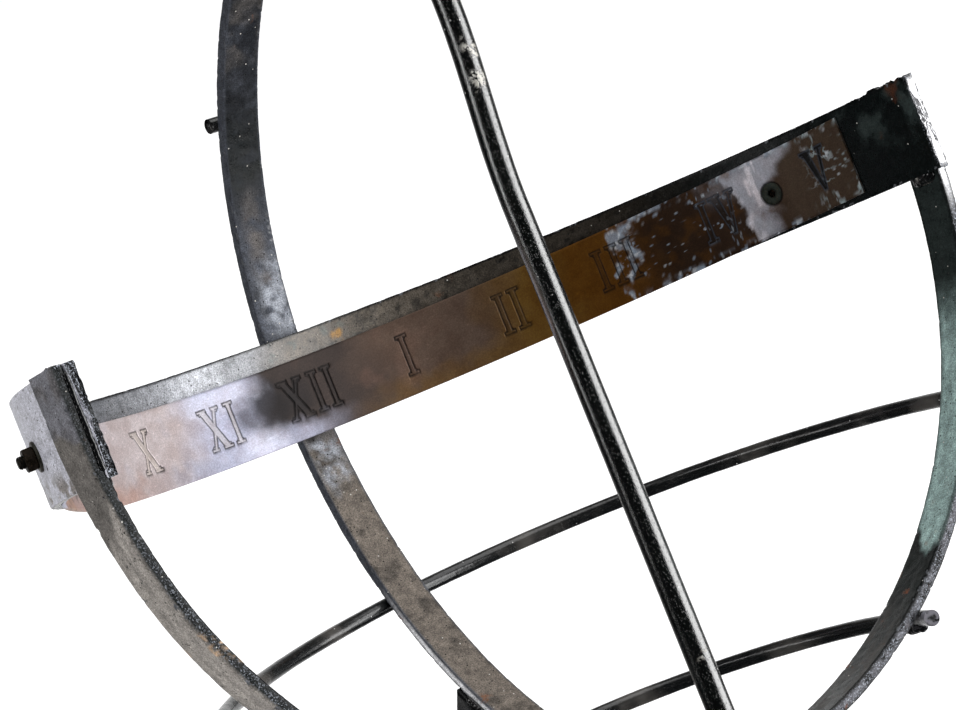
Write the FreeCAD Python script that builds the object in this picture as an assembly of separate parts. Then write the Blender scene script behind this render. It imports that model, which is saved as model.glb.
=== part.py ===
"""Garden armillary sundial: a tilted iron cage round a gnomon, on a turning stem.

Frame: millimetres, +Z up, +Y north, +X east, origin at the centre of the base's underside.
The cage is built in the dial's own frame (x to noon, y to the west, z along the gnomon to the
north pole) and then tilted to the latitude and lifted on to the stand.
"""
import math
import os

import FreeCAD
import Part

# --- driving dimensions of the cage ---
LATITUDE = 53.5
BAND_RADIUS = 240.0
BAND_THICK = 5.0
BAND_LOW = -12.5
BAND_HIGH = 37.0
BAND_HALF_ANGLE = 93.5
BAND_TURN = -0.8
STRAP_THICK = 6.0
STRAP_WIDTH = 22.0
STRAP_CORNER = 0.7
MERIDIAN_RADIUS = 248.0
MERIDIAN_HALF_ANGLE = 94.5
HALF_RING_CENTRE = 12.0
GNOMON_RADIUS = 6.35
GNOMON_PROUD = 8.0
ROD_RADIUS = 4.0
ROD_HEIGHTS = {"high_cage_rod": (-115.5, -123.5, -141.0), "low_cage_rod": (-205.5, -210.5, -208.0)}
ROD_STAND_OFF = 1.2
ROD_OVERRUN = 8.0
STUB_LATITUDE = 36.0
STUB_LENGTH = 28.0

# --- hour plate and its fasteners ---
PLATE_THICK = 1.5
PLATE_WIDTH = 42.0
PLATE_HALF_ANGLE = 80.3
PLATE_TILT = 2.4
PLATE_TILT_AT = 6.0
PLATE_CENTRE = 12.6
SCREW_ANGLES = (-68.3, 75.4)
SCREW_RADIUS = 3.0
SCREW_HEAD_RADIUS = 6.0
SCREW_HEAD_DEPTH = 3.0
SCREW_PROUD = 3.0
HEX_KEY_FLATS = 4.0
HEX_KEY_DEPTH = 2.0
WASHER_RADIUS = 7.0
WASHER_THICK = 1.2
NUT_FLATS = 10.0
NUT_THICK = 5.0

# --- stand ---
BASE_RADIUS = 100.0
BASE_THICK = 8.0
BOLT_CIRCLE_RADIUS = 80.0
BOLT_HOLE_RADIUS = 4.5
BOLT_COUNT = 4
BORE_RADIUS = 19.0
STEM_CLEARANCE = 0.05
SOCKET_RADIUS = 26.0
SOCKET_TOP = 118.0
COLLAR_RADIUS = 30.0
COLLAR_THICK = 10.0
STEM_SHOW = 34.0
STEM_END = 20.0
SADDLE_LENGTH = 108.0
SADDLE_WIDTH = 26.0
SADDLE_DEPTH = 20.0
GROOVE_HALF_WIDTH = 10.5
GROOVE_CLEARANCE = 0.5
GUSSET_THICK = 6.0
GUSSET_REACH = 88.0
GUSSET_TOP = 72.0
GUSSET_TOE = 8.0
GUSSET_COUNT = 4
GUSSET_TURN = 45.0

# --- clamp screw, which points south ---
CLAMP_HEIGHT = 92.0
CLAMP_RADIUS = 5.0
CLAMP_CLEARANCE = 0.05
BOSS_RADIUS = 12.0
BOSS_END = 40.0
PAD_LENGTH = 6.0
HEAD_START = 48.0
HEAD_LENGTH = 14.0
HEAD_RADIUS = 8.0
BAR_RADIUS = 3.0
BAR_HALF = 33.0
BAR_CLEARANCE = 0.05
KNOB_RADIUS = 5.5
KNOB_DEPTH = 6.0

WELD_RADIUS = 3.2
WELD_STAND_OFF = 1.0
EDGE_CHAMFER = 1.0

# --- sizes that follow ---
BAND_OUTER = BAND_RADIUS + BAND_THICK
PLATE_INNER = BAND_RADIUS - PLATE_THICK
MERIDIAN_OUTER = MERIDIAN_RADIUS + STRAP_THICK
HALF_RING_OUTER = BAND_OUTER + STRAP_THICK
STEM_RADIUS = BORE_RADIUS - STEM_CLEARANCE
COLLAR_TOP = SOCKET_TOP + COLLAR_THICK
SADDLE_BASE = COLLAR_TOP + STEM_SHOW
CENTRE_HEIGHT = SADDLE_BASE + SADDLE_DEPTH + MERIDIAN_OUTER

ORIGIN = FreeCAD.Vector(0, 0, 0)
EAST = FreeCAD.Vector(1, 0, 0)
NORTH = FreeCAD.Vector(0, 1, 0)
UP = FreeCAD.Vector(0, 0, 1)
SOUTH = FreeCAD.Vector(0, -1, 0)
FULL_TURN = 360.0


def vector(x, y, z):
    return FreeCAD.Vector(x, y, z)


def turned(shape, axis, degrees):
    """A copy of the shape turned about an axis through the origin."""
    copy = shape.copy()
    copy.rotate(ORIGIN, axis, degrees)
    return copy


def rod(start, direction, radius, length):
    return Part.makeCylinder(radius, length, start, direction)


def tube(start, direction, outer, inner, length):
    return rod(start, direction, outer, length).cut(rod(start, direction, inner, length))


def face_of(points):
    """A flat face inside a closed outline of points."""
    return Part.Face(Part.makePolygon(points + [points[0]]))


def strap_outline(inner, outer, low, high, corner):
    """Cross-section of a bar in the x-z plane, with its four corners eased."""
    return face_of([
        vector(inner + corner, 0, low),
        vector(outer - corner, 0, low),
        vector(outer, 0, low + corner),
        vector(outer, 0, high - corner),
        vector(outer - corner, 0, high),
        vector(inner + corner, 0, high),
        vector(inner, 0, high - corner),
        vector(inner, 0, low + corner),
    ])


def hexagonal_bar(flats, length):
    """A hexagonal bar along +x from the origin."""
    corner = flats / math.sqrt(3.0)
    points = []
    for side in range(6):
        angle = math.radians(60.0 * side)
        points.append(vector(0, corner * math.cos(angle), corner * math.sin(angle)))
    return face_of(points).extrude(EAST * length)


def to_world(shape):
    """Tilt a piece of the cage to the latitude and lift it on to the stand."""
    tilt = math.radians(LATITUDE)
    sine = math.sin(tilt)
    cosine = math.cos(tilt)
    matrix = FreeCAD.Matrix(
        0, -1, 0, 0,
        sine, 0, cosine, 0,
        -cosine, 0, sine, CENTRE_HEIGHT,
        0, 0, 0, 1)
    copy = shape.copy()
    copy.transformShape(matrix, True)
    return copy


# --- the cage, in the dial's frame ---

def hour_band_blank():
    outline = strap_outline(BAND_RADIUS, BAND_OUTER, BAND_LOW, BAND_HIGH, STRAP_CORNER)
    band = outline.revolve(ORIGIN, UP, 2.0 * BAND_HALF_ANGLE)
    return turned(band, UP, BAND_TURN - BAND_HALF_ANGLE)


def hour_plate_blank():
    """Thin shell on the band's inner face, cut off by two parallel tilted planes."""
    reach = BAND_RADIUS
    wall = face_of([
        vector(PLATE_INNER, 0, -reach),
        vector(BAND_RADIUS, 0, -reach),
        vector(BAND_RADIUS, 0, reach),
        vector(PLATE_INNER, 0, reach),
    ])
    shell = wall.revolve(ORIGIN, UP, 2.0 * PLATE_HALF_ANGLE)
    shell = turned(shell, UP, BAND_TURN - PLATE_HALF_ANGLE)
    corner = vector(-2 * reach, -2 * reach, -PLATE_WIDTH / 2)
    slab = Part.makeBox(4 * reach, 4 * reach, PLATE_WIDTH, corner)
    slab = turned(slab, NORTH, PLATE_TILT)
    slab = turned(slab, UP, PLATE_TILT_AT)
    slab.translate(UP * PLATE_CENTRE)
    return shell.common(slab)


def plate_height(angle):
    """Height of the hour plate's centre line at an angle from noon."""
    drop = BAND_RADIUS * math.tan(math.radians(PLATE_TILT))
    return PLATE_CENTRE - drop * math.cos(math.radians(angle - PLATE_TILT_AT))


def at_both_screws(shape):
    """Copies of a shape, made along +x, at the plate's two screws."""
    copies = []
    for angle in SCREW_ANGLES:
        copy = turned(shape, UP, angle)
        copy.translate(UP * plate_height(angle))
        copies.append(copy)
    return copies


def screw_blank():
    """Countersunk screw along +x, with its head flush in the plate."""
    end = BAND_OUTER + WASHER_THICK + NUT_THICK + SCREW_PROUD
    face = vector(PLATE_INNER, 0, 0)
    head = Part.makeCone(SCREW_HEAD_RADIUS, SCREW_RADIUS, SCREW_HEAD_DEPTH, face, EAST)
    shank_start = PLATE_INNER + SCREW_HEAD_DEPTH
    shank = rod(vector(shank_start, 0, 0), EAST, SCREW_RADIUS, end - shank_start)
    return head.fuse(shank).removeSplitter()


def plate_screws():
    key = hexagonal_bar(HEX_KEY_FLATS, HEX_KEY_DEPTH)
    key.translate(EAST * PLATE_INNER)
    return Part.makeCompound(at_both_screws(screw_blank().cut(key)))


def plate_washers():
    washer = tube(vector(BAND_OUTER, 0, 0), EAST, WASHER_RADIUS, SCREW_RADIUS, WASHER_THICK)
    return Part.makeCompound(at_both_screws(washer))


def plate_nuts():
    nut = hexagonal_bar(NUT_FLATS, NUT_THICK)
    nut.translate(EAST * (BAND_OUTER + WASHER_THICK))
    hole = rod(vector(BAND_OUTER, 0, 0), EAST, SCREW_RADIUS, 2 * NUT_THICK)
    return Part.makeCompound(at_both_screws(nut.cut(hole)))


def without_screws(shape):
    for screw in at_both_screws(screw_blank()):
        shape = shape.cut(screw)
    return shape


def gnomon_rod():
    reach = MERIDIAN_OUTER + GNOMON_PROUD
    return rod(UP * -reach, UP, GNOMON_RADIUS, 2 * reach)


def meridian_ring():
    """Half ring through noon, running a little past the gnomon at both poles."""
    half = STRAP_WIDTH / 2
    outline = strap_outline(MERIDIAN_RADIUS, MERIDIAN_OUTER, -half, half, STRAP_CORNER)
    strap = outline.revolve(ORIGIN, UP, 2.0 * MERIDIAN_HALF_ANGLE)
    strap = turned(strap, UP, -MERIDIAN_HALF_ANGLE)
    strap = turned(strap, EAST, 90.0)
    return strap.cut(gnomon_rod())


def half_ring_outline(radius):
    """A half circle below the ring's centre with straight legs up to the band's top edge."""
    centre = HALF_RING_CENTRE
    west_end = vector(0, radius, centre)
    east_end = vector(0, -radius, centre)
    arc = Part.Arc(west_end, vector(0, 0, centre - radius), east_end)
    left = Part.makeLine(vector(0, radius, BAND_HIGH), west_end)
    right = Part.makeLine(east_end, vector(0, -radius, BAND_HIGH))
    lid = Part.makeLine(vector(0, -radius, BAND_HIGH), vector(0, radius, BAND_HIGH))
    return Part.Face(Part.Wire([left, arc.toShape(), right, lid]))


def east_west_half_ring():
    """Strap that passes under the south pole and laps outside both ends of the hour band."""
    inner = half_ring_outline(BAND_OUTER)
    outer = half_ring_outline(HALF_RING_OUTER)
    strap = outer.cut(inner).extrude(EAST * STRAP_WIDTH)
    strap.translate(EAST * (-STRAP_WIDTH / 2))
    seat = rod(UP * BAND_LOW, UP, BAND_OUTER, BAND_HIGH - BAND_LOW)
    return strap.cut(seat).cut(gnomon_rod())


def pole_spacer():
    top = HALF_RING_CENTRE - HALF_RING_OUTER
    length = MERIDIAN_OUTER + top
    collar = tube(UP * -MERIDIAN_OUTER, UP, STRAP_WIDTH / 2, GNOMON_RADIUS, length)
    inside_ring = rod(vector(0, -STRAP_WIDTH, 0), NORTH, MERIDIAN_RADIUS, 2 * STRAP_WIDTH)
    under_strap = rod(vector(-STRAP_WIDTH, 0, HALF_RING_CENTRE), EAST, HALF_RING_OUTER, 2 * STRAP_WIDTH)
    return collar.common(inside_ring).cut(under_strap)


def rod_crossings(heights):
    """Where a cage rod's centre line crosses the noon line and the half ring, east and west."""
    clear = ROD_RADIUS + ROD_STAND_OFF
    at_noon, at_east, at_west = heights
    noon = vector(math.sqrt((MERIDIAN_OUTER + clear) ** 2 - at_noon ** 2), 0, at_noon)
    sides = []
    for turn, height in ((-1, at_east), (1, at_west)):
        reach = math.sqrt((HALF_RING_OUTER + clear) ** 2 - (height - HALF_RING_CENTRE) ** 2)
        sides.append(vector(0, turn * reach, height))
    east, west = sides
    return noon, east, west


def cage_rod(heights):
    """Round bar bent outside the straps, running a little past the half ring at both ends.

    Its heights are at noon and where it crosses the half ring to the east and the west.
    """
    noon, east, west = rod_crossings(heights)
    circle = Part.Circle(east, noon, west)
    out = noon - circle.Center
    past_strap = math.degrees((STRAP_WIDTH / 2 + ROD_OVERRUN) / circle.Radius)
    to_east = math.degrees(out.getAngle(east - circle.Center)) + past_strap
    to_west = math.degrees(out.getAngle(west - circle.Center)) + past_strap
    section = Part.Face(Part.Wire(Part.makeCircle(ROD_RADIUS, vector(circle.Radius, 0, 0), NORTH)))
    bar = turned(section.revolve(ORIGIN, UP, to_east + to_west), UP, -to_east)
    axis = (noon - east).cross(west - east)
    turn = FreeCAD.Rotation(out, axis.cross(out), axis, "ZXY")
    return bar.transformed(FreeCAD.Placement(circle.Center, turn).toMatrix())


def rod_stub():
    """Short cut-off length of cage rod across the outside of the meridian ring."""
    stub = rod(vector(MERIDIAN_OUTER + ROD_RADIUS, -STUB_LENGTH / 2, 0), NORTH, ROD_RADIUS, STUB_LENGTH)
    return turned(stub, NORTH, -STUB_LATITUDE)


# --- weld beads: a lump at a joint, less the pieces it joins ---

def bead(start, end, radius=WELD_RADIUS):
    """A round-ended lump of weld from one point to another."""
    run = end.sub(start)
    lump = rod(start, run, radius, run.Length)
    lump = lump.fuse(Part.makeSphere(radius, start))
    return lump.fuse(Part.makeSphere(radius, end))


def trimmed(lump, pieces):
    """The part of a bead that is clear of the pieces: its largest solid."""
    for piece in pieces:
        lump = lump.cut(piece)
    return max(lump.removeSplitter().Solids, key=lambda solid: solid.Volume)


def rod_welds(meridian, half_ring, rods, stub):
    """Beads beside each cage rod where it crosses a strap, and beside the stub."""
    along_noon = NORTH * (STRAP_WIDTH / 2 - 2 * WELD_RADIUS)
    along_side = EAST * (STRAP_WIDTH / 2 - 2 * WELD_RADIUS)
    beads = []
    for name, heights in ROD_HEIGHTS.items():
        noon, east, west = rod_crossings(heights)
        at = noon + UP * ROD_RADIUS
        beads.append(trimmed(bead(at - along_noon, at + along_noon), [meridian, rods[name]]))
        for side in (east, west):
            at = side - UP * ROD_RADIUS
            beads.append(trimmed(bead(at - along_side, at + along_side), [half_ring, rods[name]]))
    at = vector(MERIDIAN_OUTER + ROD_RADIUS / 2, 0, ROD_RADIUS)
    lump = turned(bead(at - along_noon, at + along_noon), NORTH, -STUB_LATITUDE)
    beads.append(trimmed(lump, [meridian, stub]))
    return Part.makeCompound(beads)


def band_end_welds(half_ring, band):
    """Beads along both edges of the half ring where it laps the ends of the hour band."""
    beads = []
    for side in (-1, 1):
        for edge in (-1, 1):
            across = edge * (STRAP_WIDTH / 2)
            low = vector(across, side * BAND_OUTER, BAND_LOW + 2 * WELD_RADIUS)
            high = vector(across, side * BAND_OUTER, BAND_HIGH - 2 * WELD_RADIUS)
            beads.append(trimmed(bead(low, high), [half_ring, band]))
    return Part.makeCompound(beads)


def noon_welds(meridian, band):
    """Beads on both sides of the meridian ring where it crosses the back of the band."""
    beads = []
    for side in (-1, 1):
        across = side * STRAP_WIDTH / 2
        low = vector(BAND_OUTER + WELD_STAND_OFF, across, BAND_LOW + 2 * WELD_RADIUS)
        high = vector(BAND_OUTER + WELD_STAND_OFF, across, BAND_HIGH - 2 * WELD_RADIUS)
        beads.append(trimmed(bead(low, high), [meridian, band]))
    return Part.makeCompound(beads)


def pole_welds(meridian, gnomon):
    """A ring of weld round the gnomon outside the meridian ring at each pole."""
    beads = []
    for side in (-1, 1):
        centre = UP * (side * MERIDIAN_OUTER)
        lump = Part.makeTorus(GNOMON_RADIUS + WELD_STAND_OFF, WELD_RADIUS, centre, UP)
        beads.append(trimmed(lump, [meridian, gnomon]))
    return Part.makeCompound(beads)


# --- the turning stem and the stand, in the world frame ---

def meridian_cylinder():
    """Solid cylinder that fills the meridian ring's outside, level and east to west."""
    start = vector(-SADDLE_LENGTH, 0, CENTRE_HEIGHT)
    return rod(start, EAST, MERIDIAN_OUTER, 2 * SADDLE_LENGTH)


def saddle_block():
    """Block hollowed to the meridian ring, with a groove across it for the low cage rod."""
    height = 2 * SADDLE_DEPTH
    corner = vector(-SADDLE_WIDTH / 2, -SADDLE_LENGTH / 2, SADDLE_BASE)
    block = Part.makeBox(SADDLE_WIDTH, SADDLE_LENGTH, height, corner)
    half = GROOVE_HALF_WIDTH
    depth = 2 * ROD_RADIUS + ROD_STAND_OFF + GROOVE_CLEARANCE
    floor = CENTRE_HEIGHT - MERIDIAN_OUTER - depth
    groove = Part.makeBox(SADDLE_WIDTH, 2 * half, 2 * depth, vector(-SADDLE_WIDTH / 2, -half, floor))
    return block.cut(meridian_cylinder()).cut(groove)


def saddle_welds(saddle, meridian):
    """Beads along both sides of the meridian ring where it lies in the saddle."""
    beads = []
    start = GROOVE_HALF_WIDTH
    length = SADDLE_LENGTH / 2 - start - WELD_RADIUS
    for side in (-1, 1):
        ring = Part.makeTorus(MERIDIAN_OUTER, WELD_RADIUS / 2, ORIGIN, EAST)
        ring.translate(vector(side * STRAP_WIDTH / 2, 0, CENTRE_HEIGHT))
        for from_rod in (start, -start - length):
            corner = vector(-SADDLE_WIDTH, from_rod, SADDLE_BASE)
            window = Part.makeBox(2 * SADDLE_WIDTH, length, 2 * SADDLE_DEPTH, corner)
            beads.append(trimmed(ring.common(window), [saddle, meridian]))
    return Part.makeCompound(beads)


def stem():
    return rod(UP * STEM_END, UP, STEM_RADIUS, SADDLE_BASE - STEM_END)


def stem_collar():
    return tube(UP * SOCKET_TOP, UP, COLLAR_RADIUS, STEM_RADIUS, COLLAR_THICK)


def stem_weld():
    """Fillet ring between the stem and the underside of the saddle block."""
    ring = Part.makeTorus(STEM_RADIUS, WELD_RADIUS, UP * SADDLE_BASE, UP)
    corner = vector(-SADDLE_WIDTH / 2, -SADDLE_LENGTH / 2, SADDLE_BASE - WELD_RADIUS)
    below = Part.makeBox(SADDLE_WIDTH, SADDLE_LENGTH, WELD_RADIUS, corner)
    return ring.common(below).cut(stem())


def base_flange():
    plate = rod(ORIGIN, UP, BASE_RADIUS, BASE_THICK)
    plate = plate.makeChamfer(EDGE_CHAMFER, plate.Edges)
    for index in range(BOLT_COUNT):
        angle = math.radians(index * FULL_TURN / BOLT_COUNT)
        centre = vector(math.cos(angle), math.sin(angle), 0) * BOLT_CIRCLE_RADIUS
        plate = plate.cut(rod(centre, UP, BOLT_HOLE_RADIUS, BASE_THICK))
    return plate


def socket_tube():
    socket = tube(UP * BASE_THICK, UP, SOCKET_RADIUS, BORE_RADIUS, SOCKET_TOP - BASE_THICK)
    return socket.cut(clamp_hole())


def socket_weld():
    lump = Part.makeTorus(SOCKET_RADIUS, WELD_RADIUS, UP * BASE_THICK, UP)
    lump = lump.cut(rod(ORIGIN, UP, SOCKET_RADIUS, SOCKET_TOP))
    lump = lump.cut(rod(ORIGIN, UP, BASE_RADIUS, BASE_THICK))
    return lump.cut(gussets())


def gussets():
    """Upright triangular ribs between the socket and the base."""
    outline = face_of([
        vector(SOCKET_RADIUS, 0, BASE_THICK),
        vector(GUSSET_REACH, 0, BASE_THICK),
        vector(GUSSET_REACH, 0, BASE_THICK + GUSSET_TOE),
        vector(SOCKET_RADIUS + GUSSET_TOE, 0, GUSSET_TOP),
        vector(SOCKET_RADIUS, 0, GUSSET_TOP),
    ])
    rib = outline.extrude(NORTH * GUSSET_THICK)
    rib.translate(NORTH * (-GUSSET_THICK / 2))
    rib = rib.cut(rod(ORIGIN, UP, SOCKET_RADIUS, SOCKET_TOP))
    ribs = []
    for index in range(GUSSET_COUNT):
        ribs.append(turned(rib, UP, GUSSET_TURN + index * FULL_TURN / GUSSET_COUNT))
    return Part.makeCompound(ribs)


# --- the clamp screw ---

def clamp_axis(distance):
    """A point on the clamp screw's axis at a distance from the stem's centre."""
    return vector(0, -distance, CLAMP_HEIGHT)


def clamp_hole():
    return rod(clamp_axis(0), SOUTH, CLAMP_RADIUS + CLAMP_CLEARANCE, BOSS_END)


def clamp_boss():
    boss = rod(clamp_axis(0), SOUTH, BOSS_RADIUS, BOSS_END)
    boss = boss.cut(rod(ORIGIN, UP, SOCKET_RADIUS, SOCKET_TOP))
    return boss.cut(clamp_hole())


def clamp_pad():
    return rod(clamp_axis(BORE_RADIUS), SOUTH, CLAMP_RADIUS, PAD_LENGTH)


def clamp_screw():
    start = BORE_RADIUS + PAD_LENGTH
    shank = rod(clamp_axis(start), SOUTH, CLAMP_RADIUS, HEAD_START - start)
    head = rod(clamp_axis(HEAD_START), SOUTH, HEAD_RADIUS, HEAD_LENGTH)
    head = head.makeChamfer(EDGE_CHAMFER, head.Edges)
    bar_end = bar_centre() - EAST * BAR_HALF
    cross_hole = rod(bar_end, EAST, BAR_RADIUS + BAR_CLEARANCE, 2 * BAR_HALF)
    return shank.fuse(head).cut(cross_hole)


def bar_centre():
    return clamp_axis(HEAD_START + HEAD_LENGTH / 2)


def tommy_bar():
    return rod(bar_centre() - EAST * BAR_HALF, EAST, BAR_RADIUS, 2 * BAR_HALF)


def bar_knobs():
    """Round knobs pushed on to both ends of the tommy bar."""
    bar = tommy_bar()
    knobs = []
    for side in (-1, 1):
        centre = bar_centre() + EAST * (side * (BAR_HALF - KNOB_DEPTH + KNOB_RADIUS))
        knobs.append(Part.makeSphere(KNOB_RADIUS, centre).cut(bar))
    return Part.makeCompound(knobs)


def cage_pieces():
    band = without_screws(hour_band_blank())
    meridian = meridian_ring()
    half_ring = east_west_half_ring()
    gnomon = gnomon_rod()
    stub = rod_stub()
    rods = {}
    for name, heights in ROD_HEIGHTS.items():
        rods[name] = cage_rod(heights)
    pieces = {
        "hour_band": band,
        "hour_plate": without_screws(hour_plate_blank()),
        "plate_screws": plate_screws(),
        "plate_washers": plate_washers(),
        "plate_nuts": plate_nuts(),
        "meridian_ring": meridian,
        "east_west_half_ring": half_ring,
        "gnomon_rod": gnomon,
        "pole_spacer": pole_spacer(),
        "rod_stub": stub,
        "rod_welds": rod_welds(meridian, half_ring, rods, stub),
        "band_end_welds": band_end_welds(half_ring, band),
        "noon_welds": noon_welds(meridian, band),
        "pole_welds": pole_welds(meridian, gnomon),
    }
    pieces.update(rods)
    return {name: to_world(shape) for name, shape in pieces.items()}


def stand_pieces(meridian):
    saddle = saddle_block()
    return {
        "saddle_block": saddle,
        "saddle_welds": saddle_welds(saddle, meridian),
        "stem": stem(),
        "stem_collar": stem_collar(),
        "stem_weld": stem_weld(),
        "base_flange": base_flange(),
        "socket_tube": socket_tube(),
        "socket_weld": socket_weld(),
        "gussets": gussets(),
        "clamp_boss": clamp_boss(),
        "clamp_pad": clamp_pad(),
        "clamp_screw": clamp_screw(),
        "tommy_bar": tommy_bar(),
        "bar_knobs": bar_knobs(),
    }


def main():
    os.makedirs("parts", exist_ok=True)
    pieces = cage_pieces()
    pieces.update(stand_pieces(pieces["meridian_ring"]))
    for name, shape in pieces.items():
        shape.exportStep("parts/" + name + ".step")


main()
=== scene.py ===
"""Looks of a weathered garden armillary sundial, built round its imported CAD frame.

Lengths are millimetres and angles degrees unless a name says otherwise. Cage pieces are made in the
dial's own frame (x to noon, y to the west, z along the gnomon to the north pole) and then tilted.
"""
import itertools
import math

import bmesh
import bpy
import numpy as np
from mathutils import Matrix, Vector


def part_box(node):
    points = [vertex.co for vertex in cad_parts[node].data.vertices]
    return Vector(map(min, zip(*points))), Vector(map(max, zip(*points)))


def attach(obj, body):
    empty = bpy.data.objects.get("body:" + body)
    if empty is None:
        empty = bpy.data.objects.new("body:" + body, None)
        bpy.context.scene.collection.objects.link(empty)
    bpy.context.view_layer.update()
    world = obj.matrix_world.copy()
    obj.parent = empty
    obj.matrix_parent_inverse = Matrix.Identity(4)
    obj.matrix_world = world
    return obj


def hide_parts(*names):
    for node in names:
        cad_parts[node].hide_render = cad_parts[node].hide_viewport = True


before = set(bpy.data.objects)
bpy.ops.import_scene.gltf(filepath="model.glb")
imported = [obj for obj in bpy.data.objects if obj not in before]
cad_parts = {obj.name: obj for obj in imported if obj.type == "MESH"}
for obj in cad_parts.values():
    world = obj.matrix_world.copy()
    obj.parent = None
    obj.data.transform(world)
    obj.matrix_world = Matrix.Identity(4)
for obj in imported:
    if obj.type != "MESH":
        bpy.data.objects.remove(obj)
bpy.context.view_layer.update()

MM = 0.001
X_AXIS, Y_AXIS, Z_AXIS = np.eye(3)
ORIGIN = np.zeros(3)


def corners(node):
    """Lowest and highest corner of a CAD node."""
    low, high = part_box(node)
    return np.array(low) / MM, np.array(high) / MM


# --- the cage ---
LATITUDE = 53.5
CENTRE = sum(corners("gnomon_rod")) / 2
BAND_RADIUS = 240.0
BAND_THICK = 5.0
BAND_LOW = -12.5
BAND_HIGH = 37.0
BAND_HALF_ANGLE = 93.5
BAND_TURN = -0.8
STRAP_THICK = 6.0
STRAP_WIDTH = 22.0
MERIDIAN_RADIUS = 248.0
MERIDIAN_HALF_ANGLE = 94.5
HALF_RING_CENTRE = 12.0
GNOMON_RADIUS = 6.35
GNOMON_PROUD = 8.0
GNOMON_CHIPS = ((108.0, 17.0), (-177.0, 5.0))
GNOMON_CHIP_SIDE = np.array([-0.974, 0.227, 0.0])
ROD_RADIUS = 4.0
ROD_HEIGHTS = {"high_cage_rod": (-115.5, -123.5, -141.0), "low_cage_rod": (-205.5, -210.5, -208.0)}
ROD_STAND_OFF = 1.2
ROD_OVERRUN = 8.0
STUB_LATITUDE = 36.0
STUB_LENGTH = 28.0
WELD_RADIUS = 3.2

# --- where the welded cage was pulled out of true ---
WEST_LIFT = 4.6
WEST_LIFT_FROM = (150.0, 225.0)
WEST_LIFT_HEIGHTS = (-80.0, 0.0)
FLAKE_RISE = 1.4
GNOMON_BOW = 5.8
GNOMON_BOW_HEIGHTS = (40.0, 248.0)
GNOMON_BOW_DIRECTION = np.array([-0.55, -0.835, 0.0])

BAND_OUTER = BAND_RADIUS + BAND_THICK
MERIDIAN_OUTER = MERIDIAN_RADIUS + STRAP_THICK
HALF_RING_OUTER = BAND_OUTER + STRAP_THICK

# --- the hour plate and its fasteners ---
PLATE_THICK = 1.5
PLATE_WIDTH = 42.0
PLATE_HALF_ANGLE = 80.3
PLATE_TILT = 2.4
PLATE_TILT_AT = 6.0
PLATE_CENTRE = 12.6
PLATE_INNER = BAND_RADIUS - PLATE_THICK
BAND_BACK = BAND_OUTER - PLATE_INNER
PER_DEGREE = math.radians(1) * PLATE_INNER
HOUR_ANGLE = 15.0
NOON = 12
NUMERALS = {8: "VIII", 9: "IX", 10: "X", 11: "XI", 12: "XII",
            13: "I", 14: "II", 15: "III", 16: "IV", 17: "V"}
NUMERAL_HEIGHT = 23.0
NUMERAL_RAISE = 0.8
ENGRAVING_DRIFT = 1.1
ENGRAVING_DRIFT_AT = -15.0
GROOVE_WIDTH = 0.75
GROOVE_DEPTH = 0.35
SCREW_ANGLES = (-68.3, 75.4)
SCREW_RADIUS = 3.0
HEAD_RADIUS = 6.0
HEAD_DEPTH = 3.0
HEX_KEY_FLATS = 4.0
HEX_KEY_DEPTH = 1.3
SCREW_PROUD = 3.0
WASHER_RADIUS = 7.0
WASHER_THICK = 1.2
NUT_FLATS = 10.0
NUT_THICK = 5.0
THREAD_PITCH = 1.0

# --- mesh fineness ---
STRAP_STEP = 1.1
ROD_STEP = 1.2
FINE_STEP = 0.34
COARSE_STEP = 1.5
ARC_POINTS = 4
CAP_SCALES = (0.0, 0.2, 0.45, 0.7, 0.88)
GNOMON_STEP = 0.9
BEAD_STEP = 0.5
RING_BEAD_STEP = 0.6
SECTION_STEP = 1.2
ARRIS_RADIUS = 0.7
FACET = 0.3

# --- camera and light, round the dial ---
CAMERA_AZIMUTH = -39.1
CAMERA_ELEVATION = 28.64
CAMERA_DISTANCE = 1181.6
CAMERA_AIM = np.array([-34.4, 9.8, -25.9])
CAMERA_LENS = 97.39
CAMERA_SENSOR = 36.0
FLOOR_HALF = 6.0

SINE = math.sin(math.radians(LATITUDE))
COSINE = math.cos(math.radians(LATITUDE))


def srgb(red, green, blue):
    """A colour as it looks on a screen, 0 to 255, in linear light."""
    value = np.array([red, green, blue]) / 255.0
    return np.where(value <= 0.04045, value / 12.92, ((value + 0.055) / 1.055) ** 2.4)


# --- noise and small sums ---

HASH_STEPS = np.array([73856093, 19349663, 83492791])
HASH_MASK = 0xFFFFFFFF
HASH_MIX = 668265261


def scrambled(key):
    """A number from -1 to 1 for each whole number, with no pattern between neighbours."""
    key = key & HASH_MASK
    key = ((key ^ (key >> 15)) * HASH_MIX) & HASH_MASK
    key = ((key ^ (key >> 13)) * HASH_MIX) & HASH_MASK
    return (key ^ (key >> 16)) / HASH_MASK * 2 - 1


def lattice_noise(points, size, seed):
    """Smooth noise from -1 to 1 with lumps about as wide as size."""
    cell = np.asarray(points, float) / size + 0.37 * seed
    base = np.floor(cell).astype(np.int64)
    part = cell - base
    part = part * part * (3 - 2 * part)
    total = np.zeros(len(cell))
    for corner in itertools.product((0, 1), repeat=3):
        value = scrambled((base + corner) @ HASH_STEPS + seed * HASH_MIX)
        total += value * np.prod(np.where(corner, part, 1 - part), axis=1)
    return total


def fractal(points, size, seed, octaves=4):
    total = np.zeros(len(points))
    for octave in range(octaves):
        total += 0.5 ** octave * lattice_noise(points, size / 2 ** octave, seed + 31 * octave)
    return total


def smooth(low, high, value):
    """0 below low, 1 above high and a soft step between."""
    part = np.clip((value - low) / (high - low), 0, 1)
    return part * part * (3 - 2 * part)


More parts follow.
